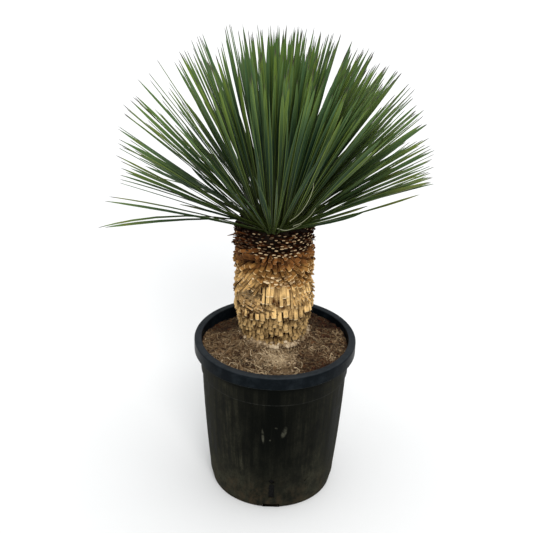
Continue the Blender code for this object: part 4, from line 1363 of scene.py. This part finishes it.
def green_leaf():
    """Tough blue-green leaf, yellower outwards, with fine veins, a pale edge and a dry brown tip."""
    coat = Finish("yucca_leaf")
    place, across, along, tone, age = coat.place()
    veins = coat.noise(coat.spot((5, 2, 53), vector=place), 1, 2, 0.5)
    cloud = coat.noise(coat.spot(), 16, 3, 0.6)
    speck = coat.noise(coat.spot(), 130, 3, 0.6)
    shade = coat.plus(coat.times(tone, 0.75), coat.times(cloud, 0.4))
    inner = coat.ramp(shade, (0.15, (0.004, 0.018, 0.011)), (0.65, (0.007, 0.025, 0.011)),
                      (1.0, (0.028, 0.048, 0.006)))
    outer = coat.ramp(shade, (0.15, (0.056, 0.116, 0.052)), (0.60, (0.096, 0.164, 0.046)),
                      (1.0, (0.130, 0.195, 0.022)))
    # The leaves are darker and bluer in the middle of the head than at its rim
    x, _, height = coat.split(coat.spot())
    from_foot = coat.add("ShaderNodeCombineXYZ", {0: x, 2: coat.join("SUBTRACT", height, 0.72)}).outputs[0]
    far = coat.add("ShaderNodeVectorMath", {0: from_foot}, operation="LENGTH").outputs["Value"]
    rim = coat.times(coat.band(far, 0.21, 0.38, 0.08), coat.band(along, 0.38, 0.82))
    coat.colour = coat.mix(rim, inner, outer)
    # Painted light: leaves at the left and right of the head are lifted lighter, where they lie in shade
    coat.paint(coat.plus(coat.band(x, 0.06, 0.26, 0, 0.24), coat.band(x, -0.10, -0.30, 0, 0.12)),
               (0.130, 0.190, 0.062))
    young = coat.times(coat.band(age, 0.30, 0.10), coat.band(along, 0.62, 0.94, 0, 0.60))
    coat.paint(young, (0.086, 0.166, 0.030))
    coat.paint(coat.band(veins, 0.40, 0.66, 0, 0.30), (0.045, 0.085, 0.024))
    # Painted shade: each leaf darkens towards its base, deep in the head
    coat.paint(coat.band(along, 0.60, 0.10, 0, 0.94), (0.010, 0.0145, 0.001))
    edge = coat.times(coat.band(coat.absolute(across), 0.70, 0.96, 0, 0.85),
                      coat.band(tone, 0.1, 0.9, 0.35), coat.band(along, 0.03, 0.30, 0.45))
    coat.paint(edge, (0.200, 0.270, 0.050))
    # Old leaves yellow towards their ends, and tips dry out at the head's rim
    yellow = coat.band(coat.plus(cloud, coat.times(tone, 0.25)), 0.56, 0.76)
    yellow = coat.times(coat.band(along, 0.60, 0.95), coat.band(age, 0.66, 1), yellow, 0.70)
    coat.paint(yellow, (0.160, 0.150, 0.018))
    dried = coat.band(coat.plus(along, coat.times(tone, 0.030)), 0.960, 1)
    coat.paint(coat.times(dried, coat.band(far, 0.30, 0.40, 0.10)), (0.062, 0.050, 0.042))
    coat.paint(coat.band(speck, 0.70, 0.78, 0, 0.5), (0.10, 0.075, 0.03))
    rough = coat.band(cloud, 0.3, 0.7, 0.40, 0.54)
    return coat.done(Roughness=rough, Normal=coat.bump(veins, 0.0004, 0.6), Specular_IOR_Level=0.15)


def build_threads():
    """Fine pale threads, peeled off the leaves' edges and curled, in front of the head's foot."""
    threads = Copies()
    points, faces = draw_out(*THREAD)
    share = points[:, 2]
    inside = np.clip(share, THREAD_BEND, 1.0 - THREAD_BEND)
    for number, path in enumerate(THREADS):
        path = np.array(path)
        reached = np.linspace(0.0, 1.0, len(path))
        before, after = (
            np.stack([np.interp(inside + shift, reached, path[:, axis]) for axis in range(3)], axis=1)
            for shift in (-THREAD_BEND, THREAD_BEND)
        )
        centre = 0.5 * (before + after) + np.outer(share - inside, path[-1] - path[-2])
        thin = THREAD_HALF * (1.0 - 0.6 * share)
        wide, high = points[:, 0] * thin, points[:, 1] * thin
        laid = centre + np.stack([wide, high * THREAD_FLATTENING, high], axis=1)
        threads.add(laid, faces, points[:, 0], share, 0.6 + 0.15 * number)
    material = crumb_mix("pale_thread", (0.0, (0.11, 0.12, 0.065)), (1.0, (0.33, 0.34, 0.22)))
    threads.join("curled_threads", material, "green_leaf", 60)


# Studio

def build_studio():
    """A pale floor, soft light from all round, and two soft lamps."""
    bpy.ops.mesh.primitive_plane_add(size=FLOOR_SIZE, location=(0.0, 0.0, -FLOOR_DROP))
    floor = bpy.context.object
    floor.name = "studio_floor"
    coat = Finish("floor_paper")
    coat.colour = coat.mix(coat.noise(coat.spot(), 0.8, 2, 0.55), (0.80, 0.80, 0.80), (0.83, 0.83, 0.82))
    floor.data.materials.append(coat.done(Roughness=0.9))
    world = bpy.data.worlds.new("studio_air")
    bpy.context.scene.world = world
    world.use_nodes = True
    air = world.node_tree.nodes["Background"]
    air.inputs["Color"].default_value = (0.96, 0.98, 1.0, 1.0)
    air.inputs["Strength"].default_value = AIR_LIGHT
    for name, place, softness, power in SOFT_LAMPS:
        bpy.ops.object.light_add(type="SUN", location=place)
        lamp = bpy.context.object
        lamp.name = name
        lamp.data.angle = math.radians(softness)
        lamp.data.energy = power
        lamp.rotation_euler = (LAMPS_AIM - Vector(place)).to_track_quat("-Z", "Y").to_euler()


def build_camera():
    bpy.ops.object.camera_add(location=CAMERA_PLACE)
    camera = bpy.context.object
    aim = Matrix.Rotation(math.pi / 2.0 - CAMERA_DOWN, 3, "X") @ Matrix.Rotation(CAMERA_ROLL, 3, "Z")
    camera.rotation_euler = aim.to_euler()
    camera.data.sensor_width = SENSOR_MM
    camera.data.lens = LENS_MM
    bpy.context.scene.camera = camera
    bpy.context.scene.view_settings.view_transform = "Standard"


build_pot()
build_channel_shade()
build_soil()
scatter_crumbs()
scatter_fibres()
build_core()
build_cut_stubs()
build_thatch()
build_shingles()
build_hanging_strips()
build_torn_patch()
build_curled_ends()
build_low_stubs()
build_base_crumbs()
build_leaves()
build_threads()
build_studio()
build_camera()
